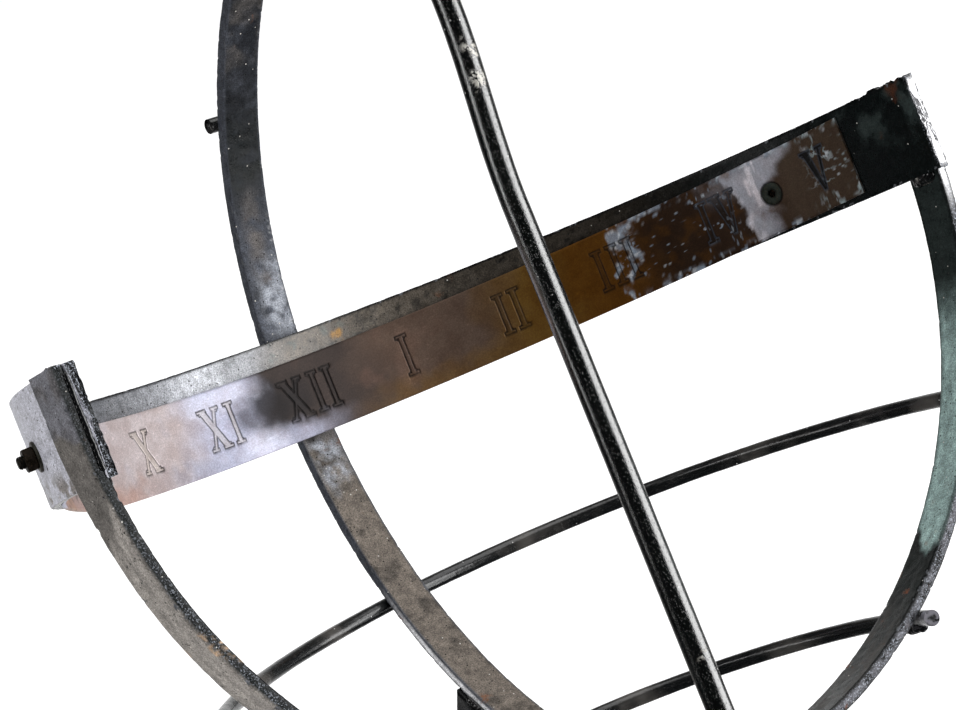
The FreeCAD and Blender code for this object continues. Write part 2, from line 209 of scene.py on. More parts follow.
def clouds(points, size, seed, low, high, octaves=4):
    """Soft patches of noise, from 0 where it is under low to 1 where it is over high."""
    return smooth(low, high, fractal(points, size, seed, octaves))


def mixed(first, second, share):
    share = np.asarray(share)[..., None]
    return first * (1 - share) + second * share


def layered(tone, *layers):
    """A tone with layers of paint over it in turn; each layer is its colour and its share."""
    for colour, share in layers:
        tone = mixed(tone, colour, share)
    return tone


def colour_along(position, stops):
    """Colour at each position between stops, which are (position, colour) pairs in rising order."""
    places = [place for place, colour in stops]
    channels = [np.interp(position, places, [colour[i] for place, colour in stops]) for i in range(3)]
    return np.stack(channels, 1)


def lifted(points):
    """Dial points with the cage's west end pulled up a little, as the welding left it."""
    y, z = points.T[1:]
    lift = WEST_LIFT * smooth(*WEST_LIFT_FROM, y) * smooth(*WEST_LIFT_HEIGHTS, z)
    return points + lift[:, None] * Z_AXIS


def to_world(points):
    x, y, z = lifted(points).T
    return np.stack([-y, SINE * x + COSINE * z, -COSINE * x + SINE * z], 1) + CENTRE


def plate_height(angle):
    """Height of the hour plate's centre line at an angle from noon."""
    drop = BAND_RADIUS * math.tan(math.radians(PLATE_TILT))
    return PLATE_CENTRE - drop * np.cos(np.radians(angle - PLATE_TILT_AT))


def polar(degrees):
    angle = math.radians(degrees)
    return np.array([math.cos(angle), math.sin(angle), 0.0])


# --- shells: points with what the paint needs to know about them ---

FRESH_TONE = srgb(40, 42, 42)
GNOMON_TONE = srgb(4, 5, 5)
WELD_TONE = srgb(16, 17, 18)
SCREW_TONE = srgb(40, 40, 38)
SCREW_HEAD_TONE = srgb(58, 64, 60)
SOCKET_SHADE = srgb(3, 3, 3)
WASHER_TONE = srgb(88, 86, 80)
NUT_TONE = srgb(52, 46, 40)
CLAMP_TONE = srgb(96, 96, 92)
BAR_TONE = srgb(120, 120, 116)
KNOB_TONE = srgb(24, 24, 24)


class Shell:
    """A mesh being shaped: points, outward directions, faces and a few values for each point."""

    def __init__(self, points, normals, faces, **values):
        self.points = points
        self.normals = normals
        self.faces = faces
        self.flats = []
        self.crease = 50
        self.values = values
        self.paint(FRESH_TONE)

    def __getitem__(self, name):
        return self.values[name]

    def __setitem__(self, name, value):
        self.values[name] = value

    def paint(self, tone):
        """Take one tone for the whole shell or one for each point."""
        self.tone = np.broadcast_to(tone, self.points.shape)
        return self

    def push(self, distance):
        self.points = self.points + self.normals * distance[:, None]

    def polar_angle(self):
        return np.degrees(np.arctan2(self.points[:, 1], self.points[:, 0]))


def joined(shells):
    """One shell from several, for a node that is a group of like pieces."""
    def together(read):
        return np.concatenate([read(shell) for shell in shells])

    starts = np.cumsum([0] + [len(shell.points) for shell in shells[:-1]])
    faces = np.concatenate([shell.faces + start for shell, start in zip(shells, starts)])
    values = {name: together(lambda shell: shell[name]) for name in shells[0].values}
    points = together(lambda shell: shell.points)
    whole = Shell(points, together(lambda shell: shell.normals), faces, **values)
    for shell, start in zip(shells, starts):
        whole.flats += [[int(start) + corner for corner in flat] for flat in shell.flats]
        whole.crease = shell.crease
    return whole.paint(together(lambda shell: shell.tone))


def filled(outline, step, closed=True):
    """An outline with points added, so that none are further apart than step."""
    outline = np.array(outline, float)
    points = []
    for here, there in zip(outline, np.roll(outline, -1, axis=0) if closed else outline[1:]):
        count = max(1, math.ceil(np.linalg.norm(there - here) / step))
        points += [here + (there - here) * share for share in np.arange(count) / count]
    return np.array(points if closed else points + [outline[-1]])


def outline_normals(outline):
    """Outward directions of a closed outline that runs anticlockwise."""
    run = np.roll(outline, -1, axis=0) - np.roll(outline, 1, axis=0)
    normal = np.stack([run[:, 1], -run[:, 0]], 1)
    return normal / np.linalg.norm(normal, axis=1, keepdims=True)


def strap_section(thick, wide, corner, step):
    """Section of a strap: offsets outward and across, directions, and closeness to an arris."""
    half = np.array([thick, wide]) / 2 - corner
    outline = []
    for index, sign in enumerate([(1, 1), (-1, 1), (-1, -1), (1, -1)]):
        for turn in np.linspace(0, 90, ARC_POINTS):
            outline.append(half * sign + corner * polar(90 * index + turn)[:2])
    outline = filled(outline, step)
    to_corner = np.linalg.norm(np.abs(outline) - half, axis=1)
    arris = smooth(1.8, 0.5, to_corner)
    return outline, outline_normals(outline), arris


def round_section(radius, count):
    outline = np.array([radius * polar(360 * index / count)[:2] for index in range(count)])
    return outline, outline / radius, np.zeros(count)


def grid_faces(rows, ring, closed):
    """Quads between neighbouring rows of a ring of points."""
    first = np.arange(rows if closed else rows - 1)
    here = (first * ring)[:, None]
    there = ((first + 1) % rows * ring)[:, None]
    column = np.arange(ring)[None, :]
    after = (column + 1) % ring
    quads = np.stack([here + column, here + after, there + after, there + column], -1)
    return quads.reshape(-1, 4)


def sweep(path, section, closed=False):
    """Carry a section along a path of centres, outward and across directions, and close its ends."""
    centres, outward, across = path
    offsets, directions, arris = section
    count = len(centres)
    steps = np.linalg.norm(np.diff(centres, axis=0), axis=1)
    along = np.concatenate([[0.0], np.cumsum(steps)])
    tangent = np.gradient(centres, axis=0)
    tangent /= np.linalg.norm(tangent, axis=1, keepdims=True)
    station = list(range(count))
    scale = [1.0] * count
    facing = [0.0] * count
    if not closed:
        ends = len(CAP_SCALES)
        station = [0] * ends + station + [count - 1] * ends
        scale = list(CAP_SCALES) + scale + list(reversed(CAP_SCALES))
        facing = [-1.0] * ends + facing + [1.0] * ends
    scale = np.array(scale)[:, None, None]
    facing = np.array(facing)[:, None, None]
    ring = len(offsets)

    def spread(offset):
        first, second = offset[None, :, :1], offset[None, :, 1:]
        return first * outward[station][:, None] + second * across[station][:, None]

    points = centres[station][:, None] + scale * spread(offsets)
    end_normals = facing * tangent[station][:, None]
    normals = np.where(facing == 0, spread(directions), end_normals + 0 * points)
    from_end = np.minimum(along, along[-1] - along)[station]
    cut = np.zeros(len(station)) if closed else smooth(1.6, 0.2, from_end)
    rows = len(station)
    values = {
        "along": np.repeat(along[station], ring),
        "out": np.tile(offsets[:, 0], rows),
        "wide": np.tile(offsets[:, 1], rows),
        "arris": np.tile(arris, rows),
        "cut": np.repeat(cut, ring),
        "end": np.repeat(np.abs(facing[:, 0, 0]), ring),
    }
    flat = points.reshape(-1, 3)
    return Shell(flat, normals.reshape(-1, 3), grid_faces(rows, ring, closed), **values)


def arc_path(centre, first, second, radius, start, end, step):
    """Path along an arc: angle 0 points along first and 90 along second."""
    count = max(2, int(math.radians(end - start) * radius / step) + 1)
    angles = np.radians(np.linspace(start, end, count))[:, None]
    outward = np.cos(angles) * first + np.sin(angles) * second
    across = np.tile(np.cross(first, second), (count, 1))
    return centre + radius * outward, outward, across


def line_path(start, end, outward, step):
    """Straight path with a fixed outward direction."""
    run = end - start
    length = np.linalg.norm(run)
    count = max(2, int(length / step) + 1)
    centres = start + np.linspace(0, 1, count)[:, None] * run
    across = np.cross(run / length, outward)
    return centres, np.tile(outward, (count, 1)), np.tile(across, (count, 1))


def path_in_turn(*paths):
    """Several paths joined end to end."""
    return [np.concatenate([path[part] for path in paths]) for part in range(3)]


def lathe(outline, segments, tube=False, start=ORIGIN, axis=Z_AXIS):
    """Turned shape: outline is (distance along the axis, radius) pairs; a radius may vary by angle."""
    axis = axis / np.linalg.norm(axis)
    side = np.cross(axis, X_AXIS if abs(axis[0]) < 0.9 else Y_AXIS)
    side /= np.linalg.norm(side)
    angles = np.arange(segments) * 360.0 / segments
    turns = np.radians(angles)[:, None]
    spoke = np.cos(turns) * side + np.sin(turns) * np.cross(axis, side)
    heights = np.array([height for height, radius in outline])
    reach = np.array([radius(angles) if callable(radius) else np.full(segments, float(radius))
                      for height, radius in outline])
    points = start + axis * heights[:, None, None] + spoke * reach[:, :, None]
    profile = np.stack([heights, reach.mean(1)], 1)
    run = np.roll(profile, -1, axis=0) - np.roll(profile, 1, axis=0) if tube else np.gradient(profile, axis=0)
    slope = np.stack([-run[:, 1], run[:, 0]], 1)
    slope /= np.linalg.norm(slope, axis=1, keepdims=True) + 1e-9
    normals = slope[:, :1, None] * axis + slope[:, 1:, None] * spoke[None]
    nothing = np.zeros(segments * len(heights))
    faces = grid_faces(len(heights), segments, tube)
    return Shell(points.reshape(-1, 3), normals.reshape(-1, 3), faces, arris=nothing, cut=nothing,
                 along=np.repeat(heights, segments))


def hexagon(flats, limit=math.inf):
    """Radius of a hexagon by angle, rounded off at a limit."""
    def radius(angles):
        return np.minimum(flats / 2 / np.cos(np.radians((angles + 30) % 60 - 30)), limit)
    return radius


def threaded(radius, height):
    """Radius of a screw thread by angle at a height."""
    def reach(angles):
        wave = (height / THREAD_PITCH - angles / 360) % 1
        return radius - 0.35 * THREAD_PITCH * np.abs(2 * wave - 1)
    return reach


# --- weathering of shapes ---

def weather(shell, seed, wave=0.15, grit=0.09, chips=0.3, cut_depth=0.8):
    """Long waves from the rolling, grit under the paint, chipped arrises and rough cut ends."""
    points = shell.points
    move = wave * fractal(points, 45.0, seed, 2)
    move += grit * fractal(points, 3.2, seed + 3, 3)
    chip = clouds(points, 2.4, seed + 7, 0.45, 0.85, 3)
    move -= chips * chip * shell["arris"]
    if "end" in shell.values:
        torn = cut_depth * fractal(points, 2.6, seed + 11, 3)
        move = np.where(shell["end"] > 0, torn, move - 0.4 * torn * shell["cut"])
    shell["wear"] = chip * shell["arris"]
    shell.push(move)
    return shell


# --- pieces and their materials ---

def mesh_object(name, shell):
    mesh = bpy.data.meshes.new(name)
    mesh.from_pydata((shell.points * MM).tolist(), [], shell.faces.tolist() + shell.flats)
    rgba = np.ones((len(shell.points), 4), np.float32)
    rgba[:, :3] = shell.tone
    mesh.attributes.new("tone", "FLOAT_COLOR", "POINT").data.foreach_set("color", rgba.ravel())
    for key in ("wear", "cut", "shine"):
        values = np.broadcast_to(shell.values.get(key, 0.0), len(rgba)).astype(np.float32)
        mesh.attributes.new(key, "FLOAT", "POINT").data.foreach_set("value", values)
    work = bmesh.new()
    work.from_mesh(mesh)
    bmesh.ops.remove_doubles(work, verts=work.verts, dist=1e-7)
    bmesh.ops.recalc_face_normals(work, faces=work.faces)
    work.to_mesh(mesh)
    work.free()
    mesh.polygons.foreach_set("use_smooth", [True] * len(mesh.polygons))
    mesh.set_sharp_from_angle(angle=math.radians(shell.crease))
    return scene_object(name, mesh)


def scene_object(name, data):
    thing = bpy.data.objects.new(name, data)
    bpy.context.scene.collection.objects.link(thing)
    return thing


def add_piece(node, shell, look, body, tilted=False):
    """Put a finished shell in the scene in place of its CAD node; a look is a material and its slot."""
    if tilted:
        shell.points = to_world(shell.points)
    piece = mesh_object(node + "_look", shell)
    material, slot = look
    piece.data.materials.append(material)
    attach(piece, body)
    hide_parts(node)
    return piece


def drilled(piece, cutter):
    """Cut one shell's shape out of a finished piece."""
    tool = mesh_object(piece.name + "_cutter", cutter)
    modifier = piece.modifiers.new("hole", "BOOLEAN")
    modifier.operation = "DIFFERENCE"
    modifier.solver = "EXACT"
    modifier.object = tool
    bpy.context.view_layer.update()
    graph = bpy.context.evaluated_depsgraph_get()
    mesh = bpy.data.meshes.new_from_object(piece.evaluated_get(graph))
    piece.modifiers.clear()
    piece.data = mesh
    mesh.set_sharp_from_angle(angle=math.radians(40))
    bpy.data.objects.remove(tool)


class Nodes:
    """Short calls for making the nodes of a tree. A value may be a number, a colour or a socket."""

    def __init__(self, tree):
        self.tree = tree

    def node(self, kind, inputs=None, **settings):
        node = self.tree.nodes.new(kind)
        for name, value in settings.items():
            setattr(node, name, value)
        self.feed(node, inputs or {})
        return node

    def feed(self, node, inputs):
        for key, value in inputs.items():
            socket = node.inputs[key]
            if isinstance(value, bpy.types.NodeSocket):
                self.tree.links.new(value, socket)
            elif isinstance(value, np.ndarray):
                socket.default_value = (*value, 1.0)
            else:
                socket.default_value = value

    def math(self, operation, first, second):
        return self.node("ShaderNodeMath", {0: first, 1: second}, operation=operation).outputs[0]

    def times(self, first, second):
        return self.math("MULTIPLY", first, second)

    def most(self, first, second):
        return self.math("MAXIMUM", first, second)

    def step(self, value, low, high, bottom=0.0, top=1.0):
        inputs = {"Value": value, "From Min": low, "From Max": high, "To Min": bottom, "To Max": top}
        return self.node("ShaderNodeMapRange", inputs, interpolation_type="SMOOTHSTEP").outputs[0]

    def blend(self, share, first, second, mode="MIX"):
        inputs = {0: share, 6: first, 7: second}
        return self.node("ShaderNodeMix", inputs, data_type="RGBA", blend_type=mode).outputs[2]

    def tinted(self, colour, by):
        return self.blend(1.0, colour, by, "MULTIPLY")


class Shader(Nodes):
    """A material being made. Sizes are millimetres."""

    def __init__(self, name):
        self.material = bpy.data.materials.new(name)
        self.material.use_nodes = True
        super().__init__(self.material.node_tree)
        place = self.node("ShaderNodeTexCoord").outputs["Object"]
        scale = self.node("ShaderNodeVectorMath", {"Vector": place, "Scale": 1 / MM}, operation="SCALE")
        self.place = scale.outputs[0]

    def attribute(self, name, output="Fac"):
        return self.node("ShaderNodeAttribute", attribute_name=name).outputs[output]

    def noise(self, size, detail=4.0, stretch=None):
        place = self.place
        if stretch is not None:
            place = self.node("ShaderNodeVectorMath", {0: place, 1: stretch}, operation="MULTIPLY").outputs[0]
        inputs = {"Vector": place, "Scale": 1 / size, "Detail": detail, "Roughness": 0.6}
        return self.node("ShaderNodeTexNoise", inputs).outputs[0]

    def dots(self, size, share, radius):
        """Small round dots in some of the cells of a lattice: 1 inside a dot."""
        cells = self.node("ShaderNodeTexVoronoi", {"Vector": self.place, "Scale": 1 / size})
        chance = self.node("ShaderNodeSeparateColor", {0: cells.outputs["Color"]}).outputs[0]
        chosen = self.math("LESS_THAN", chance, share)
        return self.times(chosen, self.step(cells.outputs["Distance"], radius, radius * 0.6))

    def mottled(self, cloud, edge, shade):
        """The painted tone, shaded where a cloud is low."""
        tone = self.attribute("tone", "Color")
        return self.blend(self.step(cloud, edge, 1 - edge), self.tinted(tone, shade), tone)

    def bump(self, height, depth, normal=None):
        inputs = {"Height": height, "Distance": depth * MM}
        if normal is not None:
            inputs["Normal"] = normal
        return self.node("ShaderNodeBump", inputs).outputs[0]

    def finish(self, **inputs):
        surface = self.tree.nodes["Principled BSDF"]
        self.feed(surface, {name.replace("_", " "): value for name, value in inputs.items()})
        return self.material


def iron_paint(name, roughness=0.42, flecks=0.008, rust=0.3, sparkle=0.10):
    """Old black paint on rolled iron: mottled tone, pits, pale specks, rust spots and bright wear."""
    shader = Shader(name)
    cut = shader.attribute("cut")
    shine = shader.attribute("shine")
    mottle = shader.noise(5.0, 6.0)
    fine = shader.noise(0.9, 3.0)
    tearing = shader.noise(0.8, 3.0)
    colour = shader.mottled(mottle, 0.3, srgb(205, 205, 205))
    colour = shader.tinted(colour, shader.step(fine, 0.58, 0.72, 1.0, 1.8))
    colour = shader.tinted(colour, shader.step(shader.noise(0.75, 2.0), 0.36, 0.64, 0.65, 1.25))
    pits = shader.dots(2.4, 0.35, 0.22)
    colour = shader.blend(pits, colour, srgb(18, 18, 18))
    rusty = shader.step(shader.noise(16.0, 5.0), 0.66, 0.76, 0.0, rust)
    colour = shader.blend(shader.times(rusty, shader.step(fine, 0.3, 0.6)), colour, srgb(122, 74, 44))
    specks = shader.dots(1.5, flecks, 0.30)
    colour = shader.blend(specks, colour, srgb(205, 202, 196))
    worn = shader.times(shader.attribute("wear"), shader.step(fine, 0.25, 0.6, 0.5, 1.5))
    colour = shader.blend(shader.step(worn, 0.25, 0.75), colour, srgb(82, 84, 88))
    torn = shader.times(cut, shader.step(tearing, 0.52, 0.64))
    colour = shader.blend(torn, colour, srgb(165, 170, 180))
    metal = shader.most(shader.times(torn, 0.9), shader.step(shine, 1.2, 2.0, 0.0, 0.7))
    rough = shader.step(mottle, 0.3, 0.7, roughness - 0.10, roughness + 0.12)
    bright = shader.node("ShaderNodeRGBToBW", {0: shader.attribute("tone", "Color")}).outputs[0]
    rough = shader.times(rough, shader.step(bright, 0.004, 0.05, 0.5, 1.0))
    rough = shader.times(rough, shader.step(shine, 0.0, 1.0, 1.0, 0.45))
    rough = shader.most(rough, shader.times(specks, 0.8))
    bump = shader.bump(fine, sparkle)
    bump = shader.bump(shader.math("SUBTRACT", specks, pits), 0.12, bump)
    bump = shader.bump(shader.times(cut, tearing), 0.7, bump)
    return shader.finish(Base_Color=colour, Metallic=metal, Roughness=rough, Normal=bump,
                         Specular_IOR_Level=shader.step(shine, 0.0, 1.0, 0.15, 0.5))


def gloss_paint(name, roughness=0.13, pit_depth=0.07, coat=0.6, index=1.5, grain=1.1):
    """Thick glossy black paint with fine pits that break up the highlights, and pale chips."""
    shader = Shader(name)
    fine = shader.noise(grain, 3.0)
    haze = shader.step(fine, 0.60, 0.72, 0.0, 0.04)
    colour = shader.blend(haze, shader.attribute("tone", "Color"), srgb(120, 124, 126))
    chips = shader.times(shader.attribute("wear"), shader.step(shader.noise(1.8, 4.0), 0.44, 0.52))
    colour = shader.blend(chips, colour, srgb(214, 210, 200))
    colour = shader.blend(shader.dots(1.8, 0.02, 0.24), colour, srgb(190, 190, 188))
    rough = shader.step(shader.noise(6.0, 4.0), 0.3, 0.7, roughness - 0.03, roughness + 0.08)
    bump = shader.bump(shader.dots(grain, 0.4, 0.35), -pit_depth)
    bump = shader.bump(chips, 0.25, shader.bump(fine, pit_depth, bump))
    return shader.finish(Base_Color=colour, Roughness=shader.most(rough, shader.times(chips, 0.7)),
                         Normal=bump, IOR=index, Coat_Weight=coat, Coat_Roughness=0.06)


def patinated_copper(name):
    """Copper alloy sheet under brown patina, scoured pale in places, with dull oxide crusts."""
    shader = Shader(name)
    crust = shader.attribute("wear")
    cloud = shader.noise(9.0, 6.0)
    fine = shader.noise(0.8, 4.0)
    scratch = shader.noise(1.6, 3.0, stretch=(0.12, 1.0, 1.0))
    colour = shader.mottled(cloud, 0.35, srgb(238, 233, 231))
    colour = shader.tinted(colour, shader.step(fine, 0.35, 0.68, 0.88, 1.2))
    colour = shader.tinted(colour, shader.step(scratch, 0.60, 0.70, 1.0, 1.25))
    rough = shader.math("ADD", shader.step(cloud, 0.3, 0.7, 0.38, 0.47), shader.times(crust, 0.35))
    bare = shader.step(shader.attribute("shine"), 0.0, 1.0, 0.45, 0.8)
    metal = shader.times(shader.math("SUBTRACT", 1.0, crust), bare)
    bump = shader.bump(shader.times(crust, shader.noise(1.2, 4.0)), 0.35, shader.bump(fine, 0.02))
    return shader.finish(Base_Color=colour, Metallic=metal, Roughness=rough, Normal=bump,
                         Specular_IOR_Level=0.2)


def plated_steel(name):
    """Dull zinc plating gone grey-green, with small brown spots."""
    shader = Shader(name)
    cloud = shader.noise(2.5, 5.0)
    fine = shader.noise(0.6, 3.0)
    colour = shader.mottled(cloud, 0.35, srgb(190, 190, 180))
    colour = shader.blend(shader.step(fine, 0.55, 0.7, 0.0, 0.35), colour, srgb(120, 95, 70))
    rough = shader.step(cloud, 0.3, 0.7, 0.35, 0.6)
    return shader.finish(Base_Color=colour, Metallic=0.7, Roughness=rough, Normal=shader.bump(fine, 0.05),
                         Specular_IOR_Level=0.1)


def brass(name):
    shader = Shader(name)
    lines = shader.noise(0.5, 2.0, stretch=(1.0, 0.1, 1.0))
    cloud = shader.step(shader.noise(3.0, 5.0), 0.3, 0.7)
    colour = shader.blend(cloud, srgb(176, 140, 78), srgb(128, 98, 52))
    rough = shader.step(lines, 0.3, 0.7, 0.25, 0.45)
    return shader.finish(Base_Color=colour, Metallic=1.0, Roughness=rough, Normal=shader.bump(lines, 0.03))


# A look is a material and the name of a slot in the CAD record.
IRON = iron_paint("old_black_iron"), "iron_black"
DUSTY_IRON = iron_paint("dusty_black_iron", roughness=0.5, flecks=0.02, rust=0.8, sparkle=0.16), "iron_black"
STAND_IRON = iron_paint("stand_black_iron", roughness=0.46, flecks=0.015, rust=0.6), "iron_black"
GLOSS = gloss_paint("glossy_black_paint", pit_depth=0.13, coat=0.5, index=2.2, grain=0.8), "iron_black"
ROD_GLOSS = gloss_paint("rod_black_paint", roughness=0.18, pit_depth=0.10, coat=0.3, index=1.6), "iron_black"
WELD = gloss_paint("painted_weld", roughness=0.16, pit_depth=0.05), "iron_weld"
COPPER = patinated_copper("patinated_copper"), "copper_plate"
PLATED = plated_steel("grey_plated_steel"), "zinc_steel"
BRASS = brass("brass"), "brass_pad"


# --- tones of the painted iron ---

BLACK_GREEN = srgb(14, 20, 20)
SOOT = srgb(16, 18, 19)
SMUDGE = srgb(112, 106, 102)
COOL_GREY = srgb(88, 92, 102)
WARM_GREY = srgb(123, 114, 105)
PATCH_GREY = srgb(179, 184, 194)
LILAC = srgb(168, 166, 176)
TEAL = srgb(168, 196, 192)
PALE_LILAC = srgb(196, 196, 206)
BROWN_GREY = srgb(100, 96, 92)
SILVER = srgb(176, 178, 184)
BEIGE_GREY = srgb(128, 118, 106)
RUST = srgb(150, 84, 48)
OCHRE = srgb(176, 128, 48)
CHIP_CREAM = srgb(206, 176, 146)
# Painted highlight: pure white laid on faces and edges where the light blows out.
WHITE_HIGHLIGHT = srgb(245, 245, 248)


def paint_meridian(shell):
    """Inner face: green-black high up, mottled grey near the hour band with pale patches of painted sheen,
    warm grey below; painted white highlights on an arris and on the west side face.
    """
    points = shell.points
    wide = shell["wide"]
    angle = np.degrees(np.arctan2(points[:, 2], points[:, 0])) + 2.5 * fractal(points, 16.0, 5, 3)
    tone = colour_along(angle, [
        (-8, WARM_GREY), (2, COOL_GREY), (14, COOL_GREY), (24, COOL_GREY * 0.7), (31, BLACK_GREEN),
        (42, COOL_GREY * 0.22), (180, BLACK_GREEN)])
    soft_spot = smooth(9, 2, np.abs(angle - 22)) * smooth(9, 0, np.abs(wide))
    tone = layered(
        tone,
        (COOL_GREY * 0.6, clouds(points, 9.0, 7, 0.1, 0.9) * smooth(26, 40, angle) * 0.6),
        (SMUDGE, clouds(points, 22.0, 8, 0.25, 0.8) * smooth(40, 48, angle) * 0.5),
        (SMUDGE, soft_spot * clouds(points, 9.0, 14, -0.5, 0.5) * 0.8),
        (SOOT, clouds(points, 8.0, 9, 0.1, 0.9) * 0.55))
    # Painted sheen: pale grey patches where the glossy strap reflects the light.
    for place, reach, side in ((12.0, 8.0, 4.0), (-7.5, 4.0, 0.0)):
        patch = smooth(reach, 0.3 * reach, np.abs(angle - place)) * smooth(13, 2, np.abs(wide - side))
        tone = mixed(tone, PATCH_GREY, patch * clouds(points, 5.0, 12, -0.8, 0.3))
    outside = mixed(SOOT, BROWN_GREY, clouds(points, 30.0, 4, 0.0, 0.9) * 0.6)
    # Painted highlights: white glints on the arris above the band and a white lit patch on the west side face
    # low down.
    lit = smooth(-24, -34, angle) * smooth(-60, -50, angle) * smooth(0, -1, wide)
    glints = smooth(27, 22, angle) * smooth(4, 9, angle) * clouds(points, 1.8, 15, 0.1, 0.5)
    edge = STRAP_WIDTH / 2
    return layered(
        mixed(outside, tone, smooth(0.5, -1.5, shell["out"])),
        (WHITE_HIGHLIGHT, glints * smooth(0, 1, wide) * shell["arris"]),
        (mixed(COOL_GREY * 0.65, WHITE_HIGHLIGHT, lit * (1 - shell["arris"])),
         smooth(edge - 1.2, edge - 0.4, np.abs(wide))))


def paint_half_ring(shell):
    """East: black, then a teal painted reflection, then black again low down, with a white painted highlight
    on the side face near the top. West: pale, dark and streaked outer face.
    """
    points = shell.points
    x, y, z = points.T
    height = z + 4 * fractal(points, 14.0, 3, 3)
    east = smooth(20, -20, y)
    inner = smooth(-2.0, -2.6, shell["out"])
    outer = smooth(2.0, 2.6, shell["out"])
    arris = shell["arris"]
    streaks = clouds(points * (1.0, 0.25, 0.25), 3.0, 21, -0.5, 0.9)
    # Painted reflection: the teal band high on the east inner face stands for a softbox reflected in the
    # paint.
    teal = smooth(-62, -96, height) * smooth(-181, -178, height - 0.25 * x)
    inside_east = layered(
        TEAL * 0.022,
        (TEAL * 0.055, smooth(-140, -120, height)),
        (TEAL, teal * (0.72 + 0.28 * streaks)),
        (BROWN_GREY * 0.5, smooth(-196, -212, height) * streaks))
    pale = smooth(6, 9, height - 0.4 * x)
    west_out = layered(
        BROWN_GREY * 3.3,
        (BROWN_GREY * 1.7, streaks * 0.6),
        (BROWN_GREY * 1.45, smooth(-34, -30, height + 0.8 * x)),
        (PALE_LILAC * 0.38, pale),
        (SMUDGE * 0.6, clouds(points, 10.0, 22, 0.0, 0.7) * pale * 0.6))
    east_out = layered(
        PALE_LILAC * 0.4,
        (BROWN_GREY * 0.6, clouds(points, 14.0, 23, -0.2, 0.8)),
        (SOOT, clouds(points, 3.0, 24, 0.45, 0.7)))
    # Painted highlight: the east side face turns white near the top where the light blows out; shine also
    # makes it bare metal there.
    bright = smooth(-40, -10, height) * smooth(0, -5, x)
    east_edge = layered(
        PALE_LILAC * 0.25,
        (SOOT, clouds(points, 3.0, 26, 0.1, 0.4)),
        (WHITE_HIGHLIGHT, bright))
    chips = clouds(points, 3.0, 27, 0.35, 0.6) * smooth(12, 4, np.abs(height + 88)) * (1 - east)
    rust = clouds(points, 6.0, 25, 0.7, 1.0) * smooth(-150, -200, height) * east
    sides = (1 - inner) * (1 - outer)
    granular = 0.15 + 0.25 * smooth(-20, -60, height)
    shell["shine"] = 2 * sides * east * bright
    shell["cut"] = np.maximum(shell["cut"], sides * np.where(east > 0.5, 0.7 * (1 - bright), granular))
    return layered(
        mixed(BLACK_GREEN, east_edge, east),
        (mixed(SOOT, inside_east, east), inner),
        (mixed(west_out, east_out, east), outer),
        (SOOT, arris * east * 0.8),
        (CHIP_CREAM, chips * arris),
        (RUST, rust * 0.5))


def ragged_spot(shell, angle, height, reach, core, rough, seed):
    """Share of a torn spot on the inside of the hour band."""
    from_spot = np.linalg.norm(shell.points - BAND_RADIUS * polar(angle) - Z_AXIS * height, axis=1)
    return smooth(reach, core, from_spot + rough * fractal(shell.points, 3.0, seed, 3)) * 0.8


def paint_band(shell):
    """Inner margin: silver near noon as a painted reflection, beige after it and green-black to the east;
    pale outside; the cut east end white as a painted highlight.
    """
    points = shell.points
    height = points[:, 2]
    angle = shell.polar_angle() + 2 * fractal(points, 14.0, 41, 3)
    inner = smooth(-1.9, -2.3, shell["out"])
    outer = smooth(1.9, 2.3, shell["out"])
    # Painted reflection: the silver from noon to X, brightest near XI, is a softbox reflected in the band.
    inside = colour_along(angle, [
        (-62, BLACK_GREEN), (-48, BEIGE_GREY * 0.12), (-24, BEIGE_GREY * 0.25), (-12, BEIGE_GREY * 0.55),
        (0, BEIGE_GREY * 0.9), (7, SILVER * 0.8), (11, SILVER), (15, SILVER * 1.7), (20, SILVER),
        (26, SILVER * 0.65), (34, SILVER * 0.42), (42, COOL_GREY * 0.6), (60, BLACK_GREEN)])
    blue = clouds(points, 12.0, 49, -0.2, 0.9) * smooth(-76, -82, angle) * smooth(0, 20, height)
    inside = layered(
        inside,
        (TEAL * 0.3, clouds(points, 5.0, 42, 0.25, 0.8) * smooth(16, 0, np.abs(angle)) * 0.7),
        (SOOT, clouds(points, 3.0, 43, 0.2, 0.9) * (0.6 - 0.4 * smooth(0, 12, angle))),
        (TEAL * 0.1, blue * 0.8),
        (SOOT, smooth(BAND_HIGH - 1.6, BAND_HIGH - 0.7, height) * 0.9),
        (OCHRE, ragged_spot(shell, -7.0, 28, 4, 1.5, 2, 44)),
        (RUST * 0.25, ragged_spot(shell, -91.5, 33, 6, 2, 3, 45)))
    west = smooth(-10, 40, angle)
    dots = smooth(0.75, 0.95, lattice_noise(points, 2.6, 46) + 0.3 * lattice_noise(points, 9.0, 47))
    flaky = clouds(points, 5.0, 48, 0.0, 0.3) * smooth(2, -8, height) * west
    outside = layered(
        BROWN_GREY * 0.5,
        (PALE_LILAC * 1.08, west),
        (SOOT, dots),
        (BEIGE_GREY * 0.9, flaky * 0.8))
    # Painted highlight: the band's cut east end is painted white, with shine making it bright bare metal.
    east_end = shell["end"] * smooth(-85, -90, angle)
    shell["shine"] = np.maximum(inner * smooth(-20, 0, angle), 2 * east_end)
    shell["cut"] = shell["cut"] * (1 - 0.9 * east_end)
    return layered(SOOT, (inside, inner), (outside, outer), (WHITE_HIGHLIGHT, east_end))


def paint_soot(shell, pale=0.4, seed=60):
    """Sooty black with paler clouds."""
    return shell.paint(mixed(SOOT, BROWN_GREY, clouds(shell.points, 26.0, seed, 0.0, 0.9) * pale))


# --- numerals ---

def stroke(foot, head, foot_half, head_half):
    """Corners of a straight stroke between two points, with its half widths there."""
    return [(foot[0] - foot_half, foot[1]), (foot[0] + foot_half, foot[1]),
            (head[0] + head_half, head[1]), (head[0] - head_half, head[1])]


